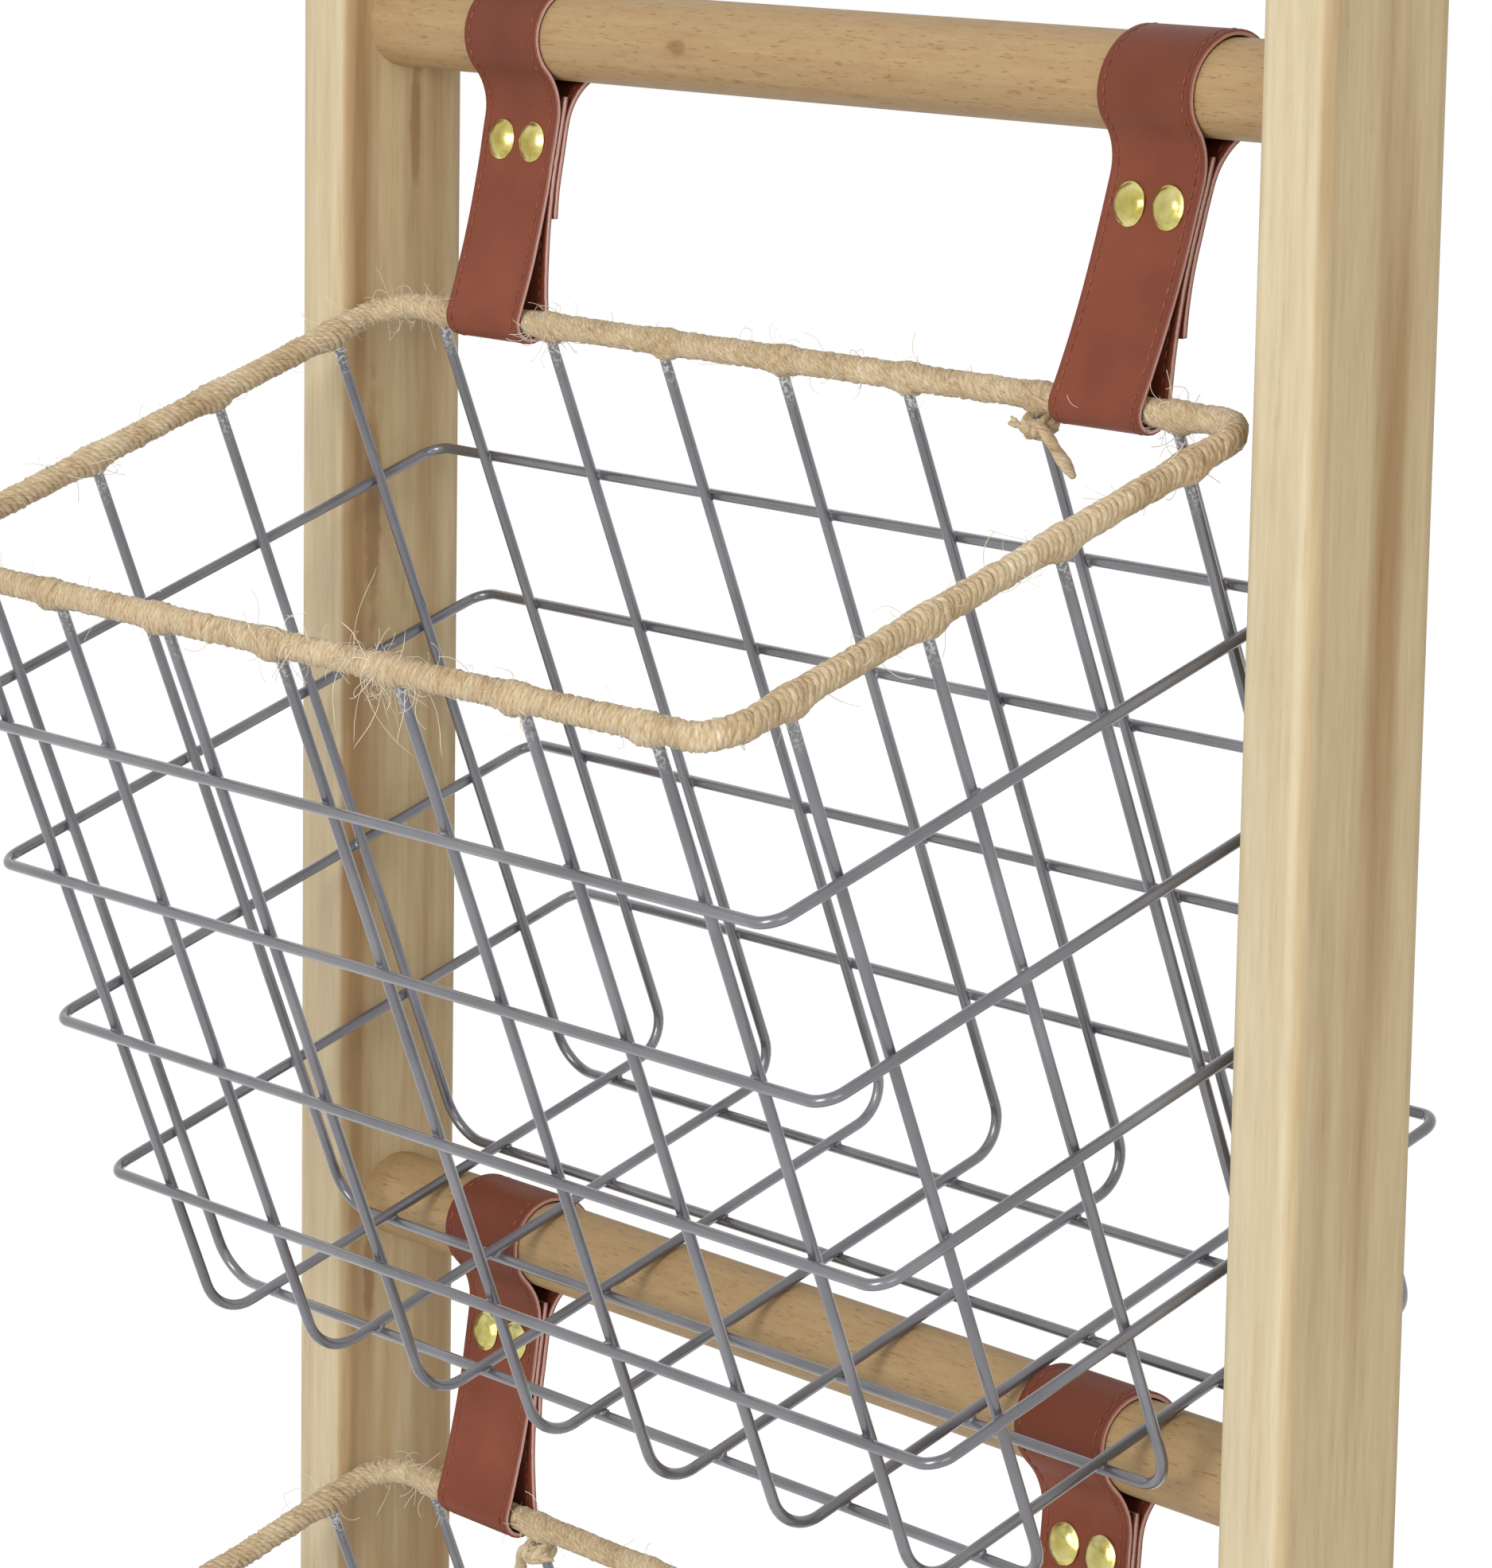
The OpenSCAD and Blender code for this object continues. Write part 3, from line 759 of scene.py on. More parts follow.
def strap_points(tier, side, section):
    along, path, ahead = strap_path(TAILS[side])
    rung = RUNGS[tier]
    seed = 10 * list(TIERS).index(tier) + (side == "right")
    swell = 1 + smooth_noise(seed, THICKNESS_CHANGE, THICKNESS_WAVE, along)
    edge = smooth_noise(seed + 50, EDGE_CHANGE, EDGE_WAVE, along)
    waist = np.array([math.sin(HANG_ANGLE), -math.cos(HANG_ANGLE)]) * WAIST_MIDDLE
    points, place = [], []
    for i in range(len(along)):
        normal = np.array([-ahead[i, 1], ahead[i, 0]])
        for u, v in section:
            gap = min(math.hypot(*(path[i] - waist), u - s * RIVET_OFFSET) for s in (-1, 1))
            dent = RIVET_DENT * math.exp(-((gap - DENT_RADIUS) / DENT_WIDTH) ** 2)
            at = path[i] + normal * (v * swell[i] - np.sign(v) * dent)
            across = u + edge[i] * (abs(u) > STITCH_LINE) * np.sign(u)
            height = rung.z + at[1]
            points.append((strap_x(tier, side, height) + across, rung.y - at[0], height))
            place.append((along[i], u, v / STRIP + 0.5))
    return points, place


def strap_faces(section, rows):
    n = len(section)
    at_edge = np.abs(section[:, 0]) > HALF_W - 0.3 * MM
    faces, cut = [], []
    for i in range(rows - 1):
        for k in range(n):
            m = (k + 1) % n
            faces.append((i * n + k, i * n + m, (i + 1) * n + m, (i + 1) * n + k))
            cut.append(bool(at_edge[k] and at_edge[m]))
    last = n // 2 - 6
    end = [(k, k + 1, n - 7 - k, n - 6 - k) for k in range(last)]
    end += [tuple(range(last, n // 2 + 1)), (*range(n - 6, n), 0)]
    for row in (0, rows - 1):
        faces += [tuple(row * n + j for j in face) for face in end]
        cut += [True] * len(end)
    return faces, cut


print("section points:", len(strip_section()))

# %% Make the six straps
section = strip_section()
for tier in TIERS:
    for side in TAILS:
        points, place = strap_points(tier, side, section)
        faces, cut = strap_faces(section, len(points) // len(section))
        strap = mesh_object(f"{tier}_{side}_leather", points, faces)
        strap.data.materials.append(leather)
        strap.data.materials.append(cut_edge)
        strap.data.polygons.foreach_set("material_index", np.array(cut, np.int32))
        point_attribute(strap, "strip_place", place, "FLOAT_VECTOR")
        point_outwards(strap)
        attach(strap, f"{tier}_straps")
        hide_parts(f"{tier}_{side}_strap")
print("faces of a strap:", len(faces))

# %% [markdown]
# ## Stitches
# A stitch line runs in each groove, on both faces. Every stitch is the same
# small pill, so Geometry Nodes set one on each point of a guide. The guide's
# points carry the direction of the strip. Where two layers of the waist touch,
# the stitches would be hidden, so the guide leaves them out.

# %% Geometry Nodes: stitches on a guide
tree, given, result = new_tree("stitches", {
    "Length": 2.6 * MM, "Thickness": 0.62 * MM, "Thread": thread, "Seed": 3})
pill = make(tree, "GeometryNodeMeshUVSphere", {"Segments": 8, "Rings": 5, "Radius": 0.5})
length = given["Length"] * random_value(tree, 0.86, 1.08, given["Seed"])
size = make(tree, "ShaderNodeCombineXYZ", {"X": given["Thickness"], "Y": given["Thickness"], "Z": length})
placed = make(tree, "GeometryNodeInstanceOnPoints", {
    "Points": given["Geometry"], "Instance": pill, "Scale": size,
    "Rotation": upright_along(tree, field(tree, "run", "FLOAT_VECTOR"))})
seal(tree, rounded(tree, placed), given["Thread"], result["Geometry"])
stitch_tree = tree
print("stitch tree:", len(stitch_tree.nodes), "nodes")

# %% Stitches of each pair of straps
STITCH_PITCH = 3.8 * MM
OTHER_LAYER = 12 * MM  # farther along the strip than this is another layer
HIDDEN = 1.0 * MM


def stitch_guide(tier, side):
    along, path, ahead = strap_path(TAILS[side])
    rung = RUNGS[tier]
    slant = SLIDES[tier, side] / RIM_BELOW
    at = np.arange(STITCH_PITCH, along[-1] - STITCH_PITCH / 2, STITCH_PITCH)
    middle = at_lengths(at, along, path)
    run = at_lengths(at, along, ahead)
    run /= np.linalg.norm(run, axis=1)[:, None]
    normal = np.stack([-run[:, 1], run[:, 0]], 1)
    points, runs = [], []
    for face in (1, -1):
        spot = middle + face * (HALF_T - 0.10 * MM) * normal
        beyond = middle + face * LAYER * normal
        for i in range(len(at)):
            other = np.abs(along - at[i]) > OTHER_LAYER
            if np.min(np.linalg.norm(path[other] - beyond[i], axis=1)) < HIDDEN:
                continue
            height = rung.z + spot[i, 1]
            for line in (1, -1):
                points.append((strap_x(tier, side, height) + line * STITCH_LINE, rung.y - spot[i, 0], height))
                runs.append((slant * run[i, 1], -run[i, 0], run[i, 1]))
    return points, runs


for tier in TIERS:
    points, runs = map(sum, zip(*[stitch_guide(tier, side) for side in TAILS]), ([], []))
    stitches = mesh_object(f"{tier}_stitches", points)
    point_attribute(stitches, "run", runs, "FLOAT_VECTOR")
    grow(stitches, stitch_tree)
    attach(stitches, f"{tier}_straps")
    print(tier, "stitches:", len(points), "faces:", len(stitches.data.polygons))

# %% [markdown]
# ## Rivets
# Each cap is a shallow dome of thin brass with a small rolled rim. A profile is
# turned into one cap, and Geometry Nodes set it on the outer face of each
# waist, eight times for a pair of straps. A noise then dents the domes, so
# that no two reflect alike.

# %% One cap, from its profile
CAP_R = 6.5  # millimetres
CAP_SIDES = 40
CAP_PROFILE = [(0, 2.55), (1.5, 2.47), (3.0, 2.22), (4.4, 1.72), (5.3, 1.2), (5.8, 0.78), (6.1, 0.62),
               (6.38, 0.5), (CAP_R, 0.28), (6.42, 0.0), (5.9, -0.06)]  # millimetres from the axis, up


def cap_mesh():
    around = np.arange(CAP_SIDES) * math.tau / CAP_SIDES
    points = [(0, 0, CAP_PROFILE[0][1])]
    for radius, height in CAP_PROFILE[1:]:
        points += [(radius * math.cos(a), radius * math.sin(a), height) for a in around]
    faces = [(0, 1 + k, 1 + (k + 1) % CAP_SIDES) for k in range(CAP_SIDES)]
    rings = len(CAP_PROFILE) - 2
    for first in range(1, 1 + rings * CAP_SIDES, CAP_SIDES):
        faces += [(first + k, first + CAP_SIDES + k, first + CAP_SIDES + (k + 1) % CAP_SIDES,
                   first + (k + 1) % CAP_SIDES) for k in range(CAP_SIDES)]
    faces.append(tuple(1 + rings * CAP_SIDES + k for k in reversed(range(CAP_SIDES))))
    return np.array(points), faces


points, faces = cap_mesh()
cap = mesh_object("cap_pattern", points * MM, faces)
point_attribute(cap, "cap_place", np.hypot(points[:, 0], points[:, 1]) / CAP_R)
print("faces of a cap:", len(cap.data.polygons))

# %% Geometry Nodes: dented caps on a guide
tree, given, result = new_tree("rivet_caps", {"Cap": None, "Dent": 0.55 * MM, "Metal": brass, "Seed": 5})
outward = field(tree, "outward", "FLOAT_VECTOR")
shape = make(tree, "GeometryNodeObjectInfo", {"Object": given["Cap"]}, "Geometry")
placed = make(tree, "GeometryNodeInstanceOnPoints", {
    "Points": given["Geometry"], "Instance": shape, "Rotation": upright_along(tree, outward)})
spin = make(tree, "ShaderNodeCombineXYZ", {"Z": random_value(tree, 0.0, math.tau, given["Seed"])})
placed = make(tree, "GeometryNodeRotateInstances", {"Instances": placed, "Rotation": spin})
placed = make(tree, "GeometryNodeRealizeInstances", {"Geometry": placed})
dents = noise(tree, make(tree, "GeometryNodeInputPosition"), 260.0, 1.5)
push = (dents - 0.62) * given["Dent"] * 2.0
dented = make(tree, "GeometryNodeSetPosition", {"Geometry": placed, "Offset": outward.scaled(push)})
seal(tree, rounded(tree, dented), given["Metal"], result["Geometry"])
cap_tree = tree
print("cap tree:", len(cap_tree.nodes), "nodes")

# %% Caps of each pair of straps
CAP_FOOT = LAYER + STRIP / 2 - 0.05 * MM
forward = np.array([0, -math.cos(HANG_ANGLE), math.sin(HANG_ANGLE)])
down = np.array([0, -math.sin(HANG_ANGLE), -math.cos(HANG_ANGLE)])
for tier in TIERS:
    points, outs = [], []
    for side in TAILS:
        for spot in (-1, 1):
            for face in (-1, 1):
                at = np.array(RUNGS[tier]) + down * WAIST_MIDDLE + forward * face * CAP_FOOT
                points.append((strap_x(tier, side, at[2]) + spot * RIVET_OFFSET, at[1], at[2]))
                outs.append(forward * face)
    caps = mesh_object(f"{tier}_rivet_caps", points)
    point_attribute(caps, "outward", outs, "FLOAT_VECTOR")
    grow(caps, cap_tree, Cap=cap)
    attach(caps, f"{tier}_straps")
    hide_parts(f"{tier}_left_rivets", f"{tier}_right_rivets")
bpy.data.objects.remove(cap)
print("caps of a tier:", len(points), "faces:", len(caps.data.polygons))

# %% [markdown]
# ## The winding
# The rim is wound with one long jute twine, hundreds of turns side by side. It
# hides the rim wire and the tops of the uprights, and it bulges a little where
# it passes an upright, mostly below. The CAD model has a plain sleeve there.
# Here the twine itself is made. Its guide runs round the rim, and carries two
# numbers on each point: how near an upright is, and how near a corner is.

# %% The guide round the rim
RAIL_STEP = 2.4 * MM
SWELL_REACH = 4.2 * MM
CORNER_REACH = 0.2 * WRAP_BEND
ARC_POINTS = 9
# each corner's side of the rim, and the angle at which its arc begins
CORNERS = [((1, -1), -math.pi / 2), ((1, 1), 0), ((-1, 1), math.pi / 2), ((-1, -1), math.pi)]


def rim_guide(tier):
    bend_middle = np.array([HALF_X, HALF_Y]) - WRAP_BEND
    arcs = [arc(np.array(side) * bend_middle, WRAP_BEND, first, first + math.pi / 2, ARC_POINTS)
            for side, first in CORNERS]
    path = np.concatenate(arcs + [arcs[0][:1]])
    length = lengths_along(path)
    even = np.linspace(0, length[-1], int(length[-1] / RAIL_STEP), endpoint=False)
    flat = at_lengths(even, length, path)
    tops = [(x, s * HALF_Y) for x in COLUMNS for s in (-1, 1)]
    tops += [(s * HALF_X, y) for y in ROWS for s in (-1, 1)]
    near = np.min([np.hypot(flat[:, 0] - x, flat[:, 1] - y) for x, y in tops], axis=0)
    swell = np.exp(-(near / SWELL_REACH) ** 2)
    corner = np.clip(np.min(np.abs(flat) - bend_middle, axis=1) / CORNER_REACH, 0, 1)
    rail = np.column_stack([flat, np.zeros(len(flat))]) + np.array(RIMS[tier])
    return rail, swell, corner, length[-1]


rail, swell, corner, rim_length = rim_guide("upper")
print("length round the rim, mm:", round(rim_length / MM), "guide points:", len(rail))

# %% [markdown]
# Geometry Nodes sample the guide and set the points of one strand in a long
# helix round it. Each turn leans a little along the rim, its radius grows at
# the uprights, and noises loosen it, shift it and vary its thickness. At the
# corners the outer side of each turn is thicker, so that the turns still touch.

# %% Geometry Nodes: a strand wound on a guide
STRAND_SIDES = 6
SHIFT = 1.6 * MM
SHIFT_CHANGES = 620.0  # in one round of the rim
LOOSE_CHANGES = 2100.0
THICK_CHANGES = 0.11  # in one step of the strand
THINNEST = 0.70
THICK_RANGE = 0.6
SWELL_ABOVE = 0.6
SWELL_BELOW = 1.8

tree, given, result = new_tree("twine_winding", {
    "Turns": 590, "Steps": 14, "Core Radius": 2.8 * MM, "Strand Radius": 1.32 * MM, "Swell": 1.05 * MM,
    "Corner Growth": 0.3, "Loose": 0.75 * MM, "Lean": 2.3 * MM, "Rim Length": float(rim_length),
    "Twine": jute, "Seed": 1})


def noise_along(where, detail=2.0):
    inputs = {"W": where, "Scale": 1.0, "Detail": detail}
    return make(tree, "ShaderNodeTexNoise", inputs, "Fac", noise_dimensions="1D")


def on_guide(value, output):
    inputs = {"Curves": guide, "Factor": spot, "Value": field(tree, value)}
    return make(tree, "GeometryNodeSampleCurve", inputs, output, mode="FACTOR", data_type="FLOAT",
                use_all_curves=True)


guide = make(tree, "GeometryNodeMeshToCurve", {"Mesh": given["Geometry"]})
count = given["Turns"] * given["Steps"]
index = make(tree, "GeometryNodeInputIndex")
share = index / count
angle = share * given["Turns"] * math.tau
sine = angle.math("SINE")
cosine = angle.math("COSINE")
leaning = (angle + 0.5).math("SINE") * given["Lean"] / given["Rim Length"]
shift = (noise_along(share * SHIFT_CHANGES) - 0.5) * SHIFT / given["Rim Length"]
spot = (share + leaning + shift + 1.0).math("FRACT")

bulge = (sine * -1.0).math("MAXIMUM", 0.0) * (SWELL_BELOW - SWELL_ABOVE) + SWELL_ABOVE
loosen = noise_along(share * LOOSE_CHANGES + given["Seed"]) - 0.5
bulge = bulge * (on_guide("swell", "Value") * given["Swell"])
radius = given["Core Radius"] + bulge + loosen * given["Loose"]
outwards = on_guide("swell", "Tangent").vector("CROSS_PRODUCT", (0, 0, 1))
rise = make(tree, "ShaderNodeCombineXYZ", {"Z": sine * radius})
place = on_guide("swell", "Position").vector("ADD", outwards.scaled(cosine * radius)).vector("ADD", rise)
line = make(tree, "GeometryNodeMeshLine", {"Count": count})
line = make(tree, "GeometryNodeSetPosition", {"Geometry": line, "Position": place})
grown = on_guide("corner", "Value") * given["Corner Growth"] * (cosine * 0.5 + 0.5) + 1.0
line = store(tree, line, "growth", grown)

strand = make(tree, "GeometryNodeMeshToCurve", {"Mesh": line})
strand = make(tree, "GeometryNodeSetSplineCyclic", {"Geometry": strand, "Cyclic": True})
strand = store(tree, strand, "run_length", make(tree, "GeometryNodeSplineParameter", output="Length"))
ring_turn = index * (math.tau / STRAND_SIDES)
ring_way = make(tree, "ShaderNodeCombineXYZ", {"X": ring_turn.math("COSINE"), "Y": ring_turn.math("SINE")})
ring = make(tree, "GeometryNodeCurvePrimitiveCircle", {"Resolution": STRAND_SIDES, "Radius": 1.0})
ring = store(tree, ring, "ring_way", ring_way, "FLOAT_VECTOR")
uneven = noise_along(index * THICK_CHANGES, 1.0) * THICK_RANGE + THINNEST
thickness = given["Strand Radius"] * uneven * field(tree, "growth")
tube = make(tree, "GeometryNodeCurveToMesh", {"Curve": strand, "Profile Curve": ring, "Scale": thickness})
along = make(tree, "ShaderNodeCombineXYZ", {"Z": field(tree, "run_length")})
place = field(tree, "ring_way", "FLOAT_VECTOR").vector("ADD", along)
tube = store(tree, tube, "strand_place", place, "FLOAT_VECTOR")
seal(tree, rounded(tree, tube), given["Twine"], result["Geometry"])
winding_tree = tree
print("winding tree:", len(winding_tree.nodes), "nodes")

# %% Wind the three rims
windings = {}
for number, tier in enumerate(TIERS):
    rail, swell, corner, rim_length = rim_guide(tier)
    edges = [(i, (i + 1) % len(rail)) for i in range(len(rail))]
    winding = mesh_object(f"{tier}_winding", rail, edges=edges)
    point_attribute(winding, "swell", swell)
    point_attribute(winding, "corner", corner)
    grow(winding, winding_tree, Seed=17 * number)
    point_outwards(winding)
    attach(winding, f"{tier}_basket")
    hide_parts(f"{tier}_rim_wrap")
    windings[tier] = winding
print("faces of a winding:", len(winding.data.polygons))

# %% [markdown]
# ## Knots
# Each winding ends in a knot round one upright of the back rim. The twine goes
# round the upright in three turns just below the rim, crosses over them, and
# leaves one long tail and one short one, from which a few fibres part. Twine of
# this kind is a bundle of fibres, so its parts are swept tubes that swell,
# flatten and thin out at their ends.

# %% A tube of changing thickness along a smooth path
PLY_DEPTH = 0.10
PLY_TWIST = 700  # radians in a metre
LUMP = 0.05


def smooth_path(knots, steps):
    fine = np.linspace(0, len(knots) - 1, (len(knots) - 1) * steps + 1)
    ends = np.vstack([2 * knots[0] - knots[1], knots, 2 * knots[-1] - knots[-2]])
    path = []
    for f in fine:
        i = min(int(f), len(knots) - 2)
        u = f - i
        a, b, c, d = ends[i:i + 4]
        cubic = 3 * b - a - 3 * c + d
        path.append(0.5 * (2 * b + (c - a) * u + (2 * a - 5 * b + 4 * c - d) * u * u + cubic * u ** 3))
    return fine, np.array(path)


def tube_mesh(knots, radii, flat=1.0, sides=12, steps=14, seed=0):
    fine, path = smooth_path(np.array(knots, float), steps)
    thick = np.interp(fine, np.arange(len(knots)), radii)
    ahead = headings(path)
    length = lengths_along(path)
    side = np.cross(ahead[0], (0.3, 0.2, 1.0))
    points, place, faces = [], [], []
    lumps = np.random.default_rng(seed).uniform(-1, 1, (len(path) + 1, sides))
    for i in range(len(path)):
        side = side - ahead[i] * np.dot(side, ahead[i])
        side /= np.linalg.norm(side)
        other = np.cross(ahead[i], side)
        for k in range(sides):
            a = math.tau * k / sides
            ply = 1 + PLY_DEPTH * math.cos(2 * a + PLY_TWIST * length[i]) + LUMP * lumps[i // 2, k]
            points.append(path[i] + thick[i] * ply * (math.cos(a) * side + flat * math.sin(a) * other))
            place.append((math.cos(a), math.sin(a), length[i]))
    for first in range(0, (len(path) - 1) * sides, sides):
        faces += [(first + k, first + (k + 1) % sides, first + sides + (k + 1) % sides, first + sides + k)
                  for k in range(sides)]
    faces += [tuple(range(sides)), tuple((len(path) - 1) * sides + k for k in range(sides))]
    return points, place, faces


def join(parts):
    points, place, faces = [], [], []
    for part_points, part_place, part_faces in parts:
        faces += [tuple(len(points) + j for j in face) for face in part_faces]
        points += part_points
        place += part_place
    return points, place, faces


print("tube ready, points of a short one:", len(tube_mesh([(0, 0, 0), (0, 0, 1)], [1, 1])[0]))

# %% The knot's turns, crossing and tails
KNOT_X = 2 * WIRE_PITCH
TURN_RADIUS = 3.3  # the knot's parts are in millimetres, from the upright's top on the rim
TURN_POINTS = 26
TURNS = [(TURN_RADIUS * math.cos(a), TURN_RADIUS * math.sin(a) + 0.1, z) for a, z in zip(
    np.linspace(0.4, 0.4 + 2.9 * math.tau, TURN_POINTS), np.linspace(-5.0, -10.4, TURN_POINTS))]
CROSS = [(3.6, 1.5, -9.6), (3.2, -2.9, -8.8), (0.6, -5.0, -7.8), (-2.8, -4.2, -6.6), (-3.6, 0.2, -5.0),
         (-1.5, 3.0, -2.8)]
BIGHT = [(-3.4, 1.8, -9.0), (-3.0, -3.2, -9.2), (0.4, -5.2, -8.6), (3.0, -4.2, -6.2), (3.4, 0.4, -4.6)]
LONG_TAIL = [(0.2, -4.4, -5.4), (2.6, -4.6, -5.6), (4.8, -4.4, -7.0), (7.0, -4.4, -10.6), (9.4, -4.5, -14.8),
             (11.6, -4.5, -18.6), (12.8, -4.5, -20.8), (13.1, -4.5, -21.4)]
SHORT_TAIL = [(-0.4, -4.4, -7.2), (-3.0, -4.6, -7.4), (-5.4, -4.2, -6.8), (-7.2, -4.0, -7.2),
              (-9.6, -3.6, -7.0), (-10.8, -3.5, -7.6)]
FORK = [(-6.0, -4.1, -6.9), (-7.6, -3.8, -5.8), (-8.8, -3.6, -4.8)]
KNOT_PARTS = [
    (TURNS, [1.0] + [1.35] * (TURN_POINTS - 2) + [1.0], 1.0), (CROSS, [0.9, 1.5, 1.8, 1.7, 1.5, 1.0], 1.0),
    (BIGHT, [0.9, 1.4, 1.7, 1.5, 0.9], 1.0), (LONG_TAIL, [1.0, 1.5, 1.7, 2.0, 2.2, 2.0, 1.3, 0.35], 0.75),
    (SHORT_TAIL, [1.0, 1.4, 1.1, 1.2, 1.0, 0.3], 0.8), (FORK, [0.8, 0.9, 0.3], 0.8)]
KNOT_SIDES = {"upper": 1, "middle": -1, "lower": 1}

for number, (tier, side) in enumerate(KNOT_SIDES.items()):
    at = np.array([side * KNOT_X, RIMS[tier].y + HALF_Y - WIRE_R, RIMS[tier].z])
    tubes = [tube_mesh(at + np.array(path) * (side, 1, 1) * MM, np.array(radii) * MM, flat, seed=seed)
             for seed, (path, radii, flat) in enumerate(KNOT_PARTS, 10 * number)]
    points, place, faces = join(tubes)
    knot = mesh_object(f"{tier}_twine_knot", points, faces)
    knot.data.materials.append(jute)
    point_attribute(knot, "strand_place", place, "FLOAT_VECTOR")
    point_outwards(knot)
    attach(knot, f"{tier}_basket")
    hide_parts(f"{tier}_wrap_knot")
print("faces of a knot:", len(faces))

# %% [markdown]
# ## Loose fibres
# Jute sheds fine pale fibres. They stand off the winding as a thin fuzz, thick
# in a few places where the twine was rubbed. The fuzz is a cloud of short bent
# hairs, which Geometry Nodes scatter over the winding with a density that the
# winding's points carry.

# %% How hairy the winding is, point by point
OUTER_RADIUS = 3.9 * MM
# each rubbed place on the rim, its reach, and how much hairier it is
RUBBED = [((52, -97), 18, 14.0), ((24, -97), 16, 6.0), ((-190, 92), 26, 5.0), ((-120, 98), 9, 9.0),
          ((169, 98), 9, 9.0), ((203, 8), 9, 3.5), ((150, -97), 10, 1.5), ((-203, -20), 14, 1.5)]


def hairiness(tier, points):
    local = points - np.array(RIMS[tier])
    corner = np.abs(local[:, :2]) - (np.array([HALF_X, HALF_Y]) - WRAP_BEND)
    beyond = np.linalg.norm(np.maximum(corner, 0), axis=1) + np.minimum(np.max(corner, axis=1), 0) - WRAP_BEND
    outer = np.hypot(beyond, local[:, 2]) > OUTER_RADIUS
    value = np.ones(len(points))
    for (x, y), reach, more in RUBBED:
        gap = np.hypot(local[:, 0] - x * MM, local[:, 1] - y * MM) / (reach * MM)
        value += more * np.exp(-gap ** 2)
    return np.where(outer, value, 0.0)


print("rubbed places:", len(RUBBED))

# %% Geometry Nodes: scattered bent hairs
HAIR_ROOT = (0, 0, -0.05)  # in hair lengths, just under the twine's surface
# the middle and end of the four kinds of hair, in hair lengths from that surface
HAIRS = (((0.35, 0.1, 0.75), (0.95, -0.15, 0.45)), ((0.75, -0.2, 0.3), (1.5, 0.25, 0.18)),
         ((-0.2, 0.25, 0.9), (0.45, 0.5, 1.05)), ((0.6, 0.4, 0.5), (0.9, -0.5, 0.05)))

tree, given, result = new_tree("loose_fibres", {
    "Density": 8000.0, "Hair Length": 4.4 * MM, "Hair Radius": 0.065 * MM, "Fibre": fibre_hair, "Seed": 2})
scatter = add(tree, "GeometryNodeDistributePointsOnFaces", {
    "Mesh": given["Geometry"], "Density": field(tree, "hairy") * given["Density"], "Seed": given["Seed"]},
    distribute_method="RANDOM")
spots = Value(tree, scatter.outputs["Points"])
lie = Value(tree, scatter.outputs["Rotation"])
three = make(tree, "GeometryNodeCurvePrimitiveCircle", {"Resolution": 3, "Radius": 1.0})
bends = add(tree, "GeometryNodeJoinGeometry")
thinness = given["Hair Radius"] / given["Hair Length"]
for middle, end in HAIRS:
    hair = make(tree, "GeometryNodeCurveQuadraticBezier", {
        "Resolution": 6, "Start": HAIR_ROOT, "Middle": middle, "End": end})
    hair = make(tree, "GeometryNodeCurveToMesh", {
        "Curve": hair, "Profile Curve": three, "Fill Caps": True, "Scale": thinness})
    make(tree, "GeometryNodeGeometryToInstance", {"Geometry": hair}).to(bends.inputs[0])
hairs = make(tree, "GeometryNodeInstanceOnPoints", {
    "Points": spots, "Instance": Value(tree, bends.outputs[0]), "Pick Instance": True, "Rotation": lie,
    "Scale": given["Hair Length"] * random_value(tree, 0.45, 1.9, given["Seed"])})
turn = random_value(tree, (-0.5, -0.5, 0.0), (0.5, 0.5, math.tau), given["Seed"])
hairs = make(tree, "GeometryNodeRotateInstances", {"Instances": hairs, "Rotation": turn})
seal(tree, hairs, given["Fibre"], result["Geometry"])

for number, tier in enumerate(TIERS):
    source = windings[tier].data
    points = np.empty(len(source.vertices) * 3, np.float32)
    source.vertices.foreach_get("co", points)
    fuzz = bpy.data.objects.new(f"{tier}_fuzz", source.copy())
    bpy.context.scene.collection.objects.link(fuzz)
    point_attribute(fuzz, "hairy", hairiness(tier, points.reshape(-1, 3)))
    grow(fuzz, tree, Seed=31 + number)
    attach(fuzz, f"{tier}_basket")
    print(tier, "fuzz faces:", len(fuzz.data.polygons))

# %% [markdown]
# The long fibres are few, and each has its own course, so they are drawn one by
# one: a start on the rim, then a random walk that bends slowly and sinks.

# %% Long fibres
FIBRE_STEPS = 9
FIBRE_FOOT = 4.0  # millimetres from the rim's middle line
FIBRE_RADII = (0.06, 0.11)  # millimetres, the thinnest and the thickest
SHORTEST_SHARE = 0.35
TIP_SHARE = 0.4
SPREAD = 9  # millimetres along the rim
BEND = 0.35
WOBBLE = 0.12
SINK = np.array([0, 0, -0.16])
LONG_SIDE_Y = 90  # a tuft farther out than this is on a long side of the rim
# each tuft's place on the rim, how many fibres it has, and the longest of them
TUFTS = [((52, -98), 20, 34), ((-190, 95), 8, 16), ((-122, 98), 9, 10), ((170, 98), 8, 10), ((203, 8), 6, 12),
         ((-75, -98), 5, 10), ((120, -98), 4, 10), ((-203, -30), 5, 12), ((40, 98), 3, 10), ((5, -98), 4, 12)]


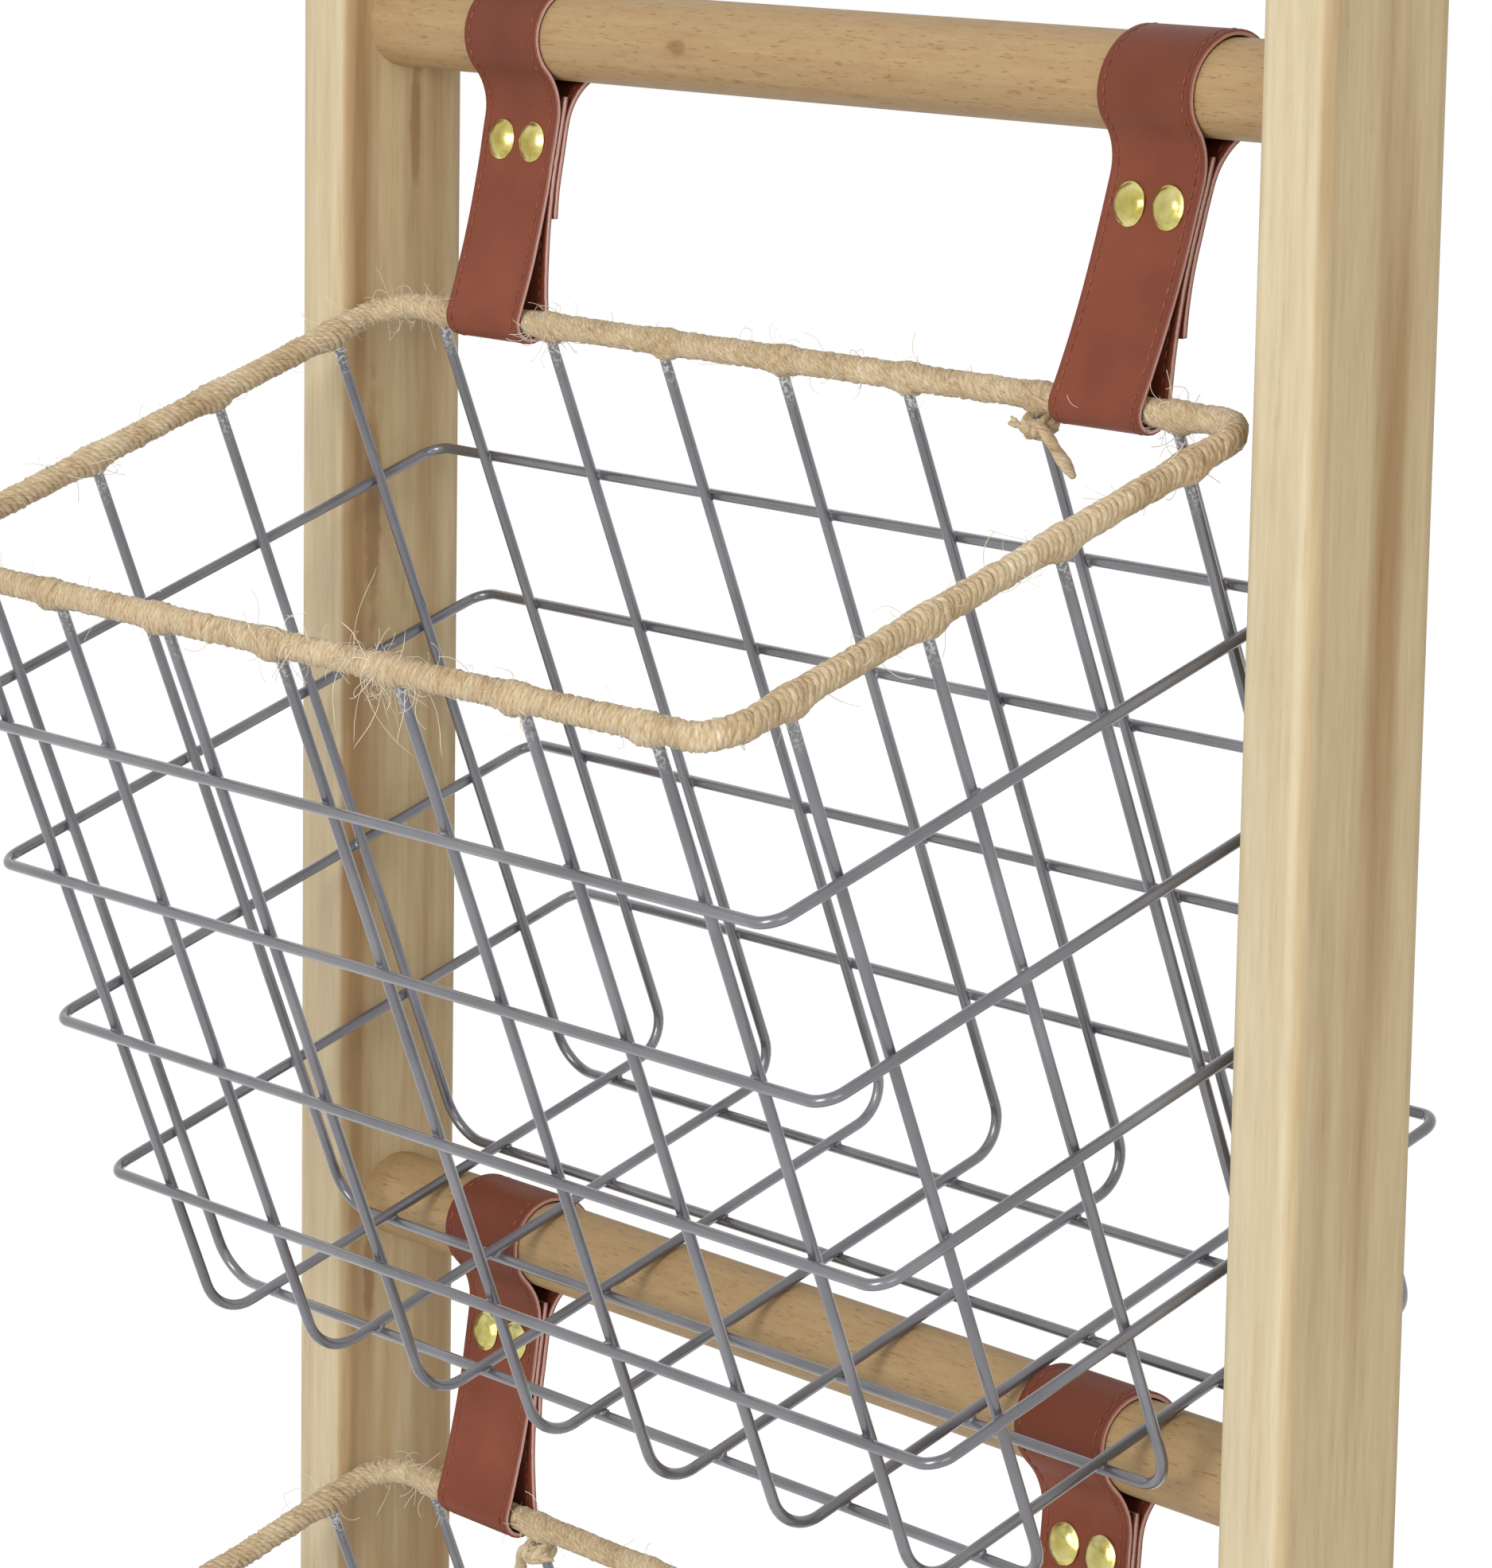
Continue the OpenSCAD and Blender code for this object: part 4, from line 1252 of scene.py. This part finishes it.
def long_fibres(tier, seed):
    pick = np.random.default_rng(seed)
    for (x, y), count, reach in TUFTS:
        for _ in range(count):
            way = pick.normal(size=3)
            way[2] = abs(way[2]) * pick.choice([1, -1])
            way /= np.linalg.norm(way)
            start = [x + pick.uniform(-SPREAD, SPREAD) * (abs(y) > LONG_SIDE_Y),
                     y + pick.uniform(-SPREAD, SPREAD) * (abs(y) < LONG_SIDE_Y), 0]
            at = np.array(start) + way * FIBRE_FOOT
            total = reach * pick.uniform(SHORTEST_SHARE, 1.0)
            bend = pick.normal(size=3) * BEND
            course = [at]
            for _ in range(FIBRE_STEPS):
                way = way + bend + pick.normal(size=3) * WOBBLE + SINK
                way /= np.linalg.norm(way)
                at = at + way * total / FIBRE_STEPS
                course.append(at)
            radius = pick.uniform(*FIBRE_RADII) * MM
            radii = [radius] * FIBRE_STEPS + [radius * TIP_SHARE]
            yield tube_mesh(np.array(RIMS[tier]) + np.array(course) * MM, radii, sides=4, steps=2)


for number, tier in enumerate(TIERS):
    points, place, faces = join(long_fibres(tier, 70 + number))
    fibres = mesh_object(f"{tier}_long_fibres", points, faces)
    fibres.data.materials.append(fibre_hair)
    point_outwards(fibres)
    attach(fibres, f"{tier}_basket")
print("faces of the long fibres of a basket:", len(faces))

# %% [markdown]
# ## Weld spots
# The wires are spot welded where they cross. Each weld leaves a small lump in
# the corner between the two wires. One blob is set on every crossing by
# Geometry Nodes, turned and scaled at random.

# %% Geometry Nodes: lumps on the crossings
tree, given, result = new_tree("weld_spots", {"Radius": 1.75 * MM, "Paint": wire_paint, "Seed": 8})
blob = make(tree, "GeometryNodeMeshIcoSphere", {"Radius": 1.0, "Subdivisions": 2})
stretch = random_value(tree, (0.7, 0.7, 0.6), (1.2, 1.2, 1.15), given["Seed"]).scaled(given["Radius"])
turn = random_value(tree, (0, 0, 0), (math.tau, math.tau, math.tau), given["Seed"])
blobs = make(tree, "GeometryNodeInstanceOnPoints", {
    "Points": given["Geometry"], "Instance": blob, "Rotation": turn, "Scale": stretch})
seal(tree, rounded(tree, blobs), given["Paint"], result["Geometry"])

# how far each ring is below the rim
RING_DROPS = (52 * MM, 105 * MM, 161 * MM, 217 * MM)
for number, tier in enumerate(TIERS):
    centre = RIMS[tier]
    floor_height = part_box(f"{tier}_width_wires")[0].z + 2 * WIRE_R
    outside = [(x, s * HALF_Y) for x in COLUMNS for s in (-1, 1)]
    outside += [(s * HALF_X, y) for y in ROWS for s in (-1, 1)]
    spots = [(centre.x + x, centre.y + y, centre.z - drop) for x, y in outside for drop in RING_DROPS]
    spots += [(centre.x + x, centre.y + y, floor_height) for x in COLUMNS for y in ROWS]
    jitter = np.random.default_rng(number).uniform(-0.5, 0.5, (len(spots), 3)) * MM
    welds = mesh_object(f"{tier}_welds", np.array(spots) + jitter)
    grow(welds, tree)
    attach(welds, f"{tier}_basket")
print("weld spots of a basket:", len(spots), "faces:", len(welds.data.polygons))

# %% [markdown]
# ## Floor and light
# The shelf stands on a plain pale floor under soft studio light: an even pale
# surround, one large soft lamp above and in front, and a weaker one from the
# right. For the camera, and for what mirrors or transmits it, the surround is
# plain white, while it lights the object at a lower level. The floor glows a
# little for the same rays, so that it looks white too and keeps the shadow.

# %% Floor
FLOOR_REACH = 9  # metres from the middle to each side
FLOOR_GREY = (0.7, 0.7, 0.7, 1)
FLOOR_GLOW = (0.585, 0.585, 0.585, 1)
BLACK = (0, 0, 0, 1)


def seen_by_camera(tree):
    rays = [make(tree, "ShaderNodeLightPath", output=f"Is {kind} Ray")
            for kind in ("Camera", "Glossy", "Transmission")]
    return rays[0].math("MAXIMUM", rays[1].math("MAXIMUM", rays[2]))


corners = [(x * FLOOR_REACH, y * FLOOR_REACH, 0) for x, y in ((-1, -1), (1, -1), (1, 1), (-1, 1))]
floor = mesh_object("studio_floor", corners, [(0, 1, 2, 3)], smooth=False)
floor_paint, tree, shader = new_material(
    "floor_paint", 0.9, Specular_IOR_Level=0.1, Base_Color=FLOOR_GREY, Emission_Strength=1.0)
plug(shader, Emission_Color=mix(tree, seen_by_camera(tree), BLACK, FLOOR_GLOW))
floor.data.materials.append(floor_paint)
print("floor ready")

# %% Surround and lamps
AMBIENT = 0.54
LAMP_SIZE = 1.6
LAMP_TARGET = Vector((0, 0, 0.9))
LAMPS = {"key": ((0.9, -2.5, 3.0), 62), "fill": ((2.7, -0.5, 1.9), 14)}  # place, watts

world = bpy.data.worlds.new("studio")
world.use_nodes = True
bpy.context.scene.world = world
background = world.node_tree.nodes["Background"]
background.inputs["Color"].default_value = (1, 1, 1, 1)
plug(background, Strength=seen_by_camera(world.node_tree) * (1.0 - AMBIENT) + AMBIENT)

for name, (place, power) in LAMPS.items():
    lamp_data = bpy.data.lights.new(name, "AREA")
    lamp_data.shape = "DISK"
    lamp_data.size = LAMP_SIZE
    lamp_data.energy = power
    lamp = bpy.data.objects.new(name, lamp_data)
    aim = (LAMP_TARGET - Vector(place)).to_track_quat("-Z", "Y").to_matrix()
    lamp.matrix_world = Matrix.Translation(place) @ aim.to_4x4()
    bpy.context.scene.collection.objects.link(lamp)
print("surround and", len(LAMPS), "lamps ready")
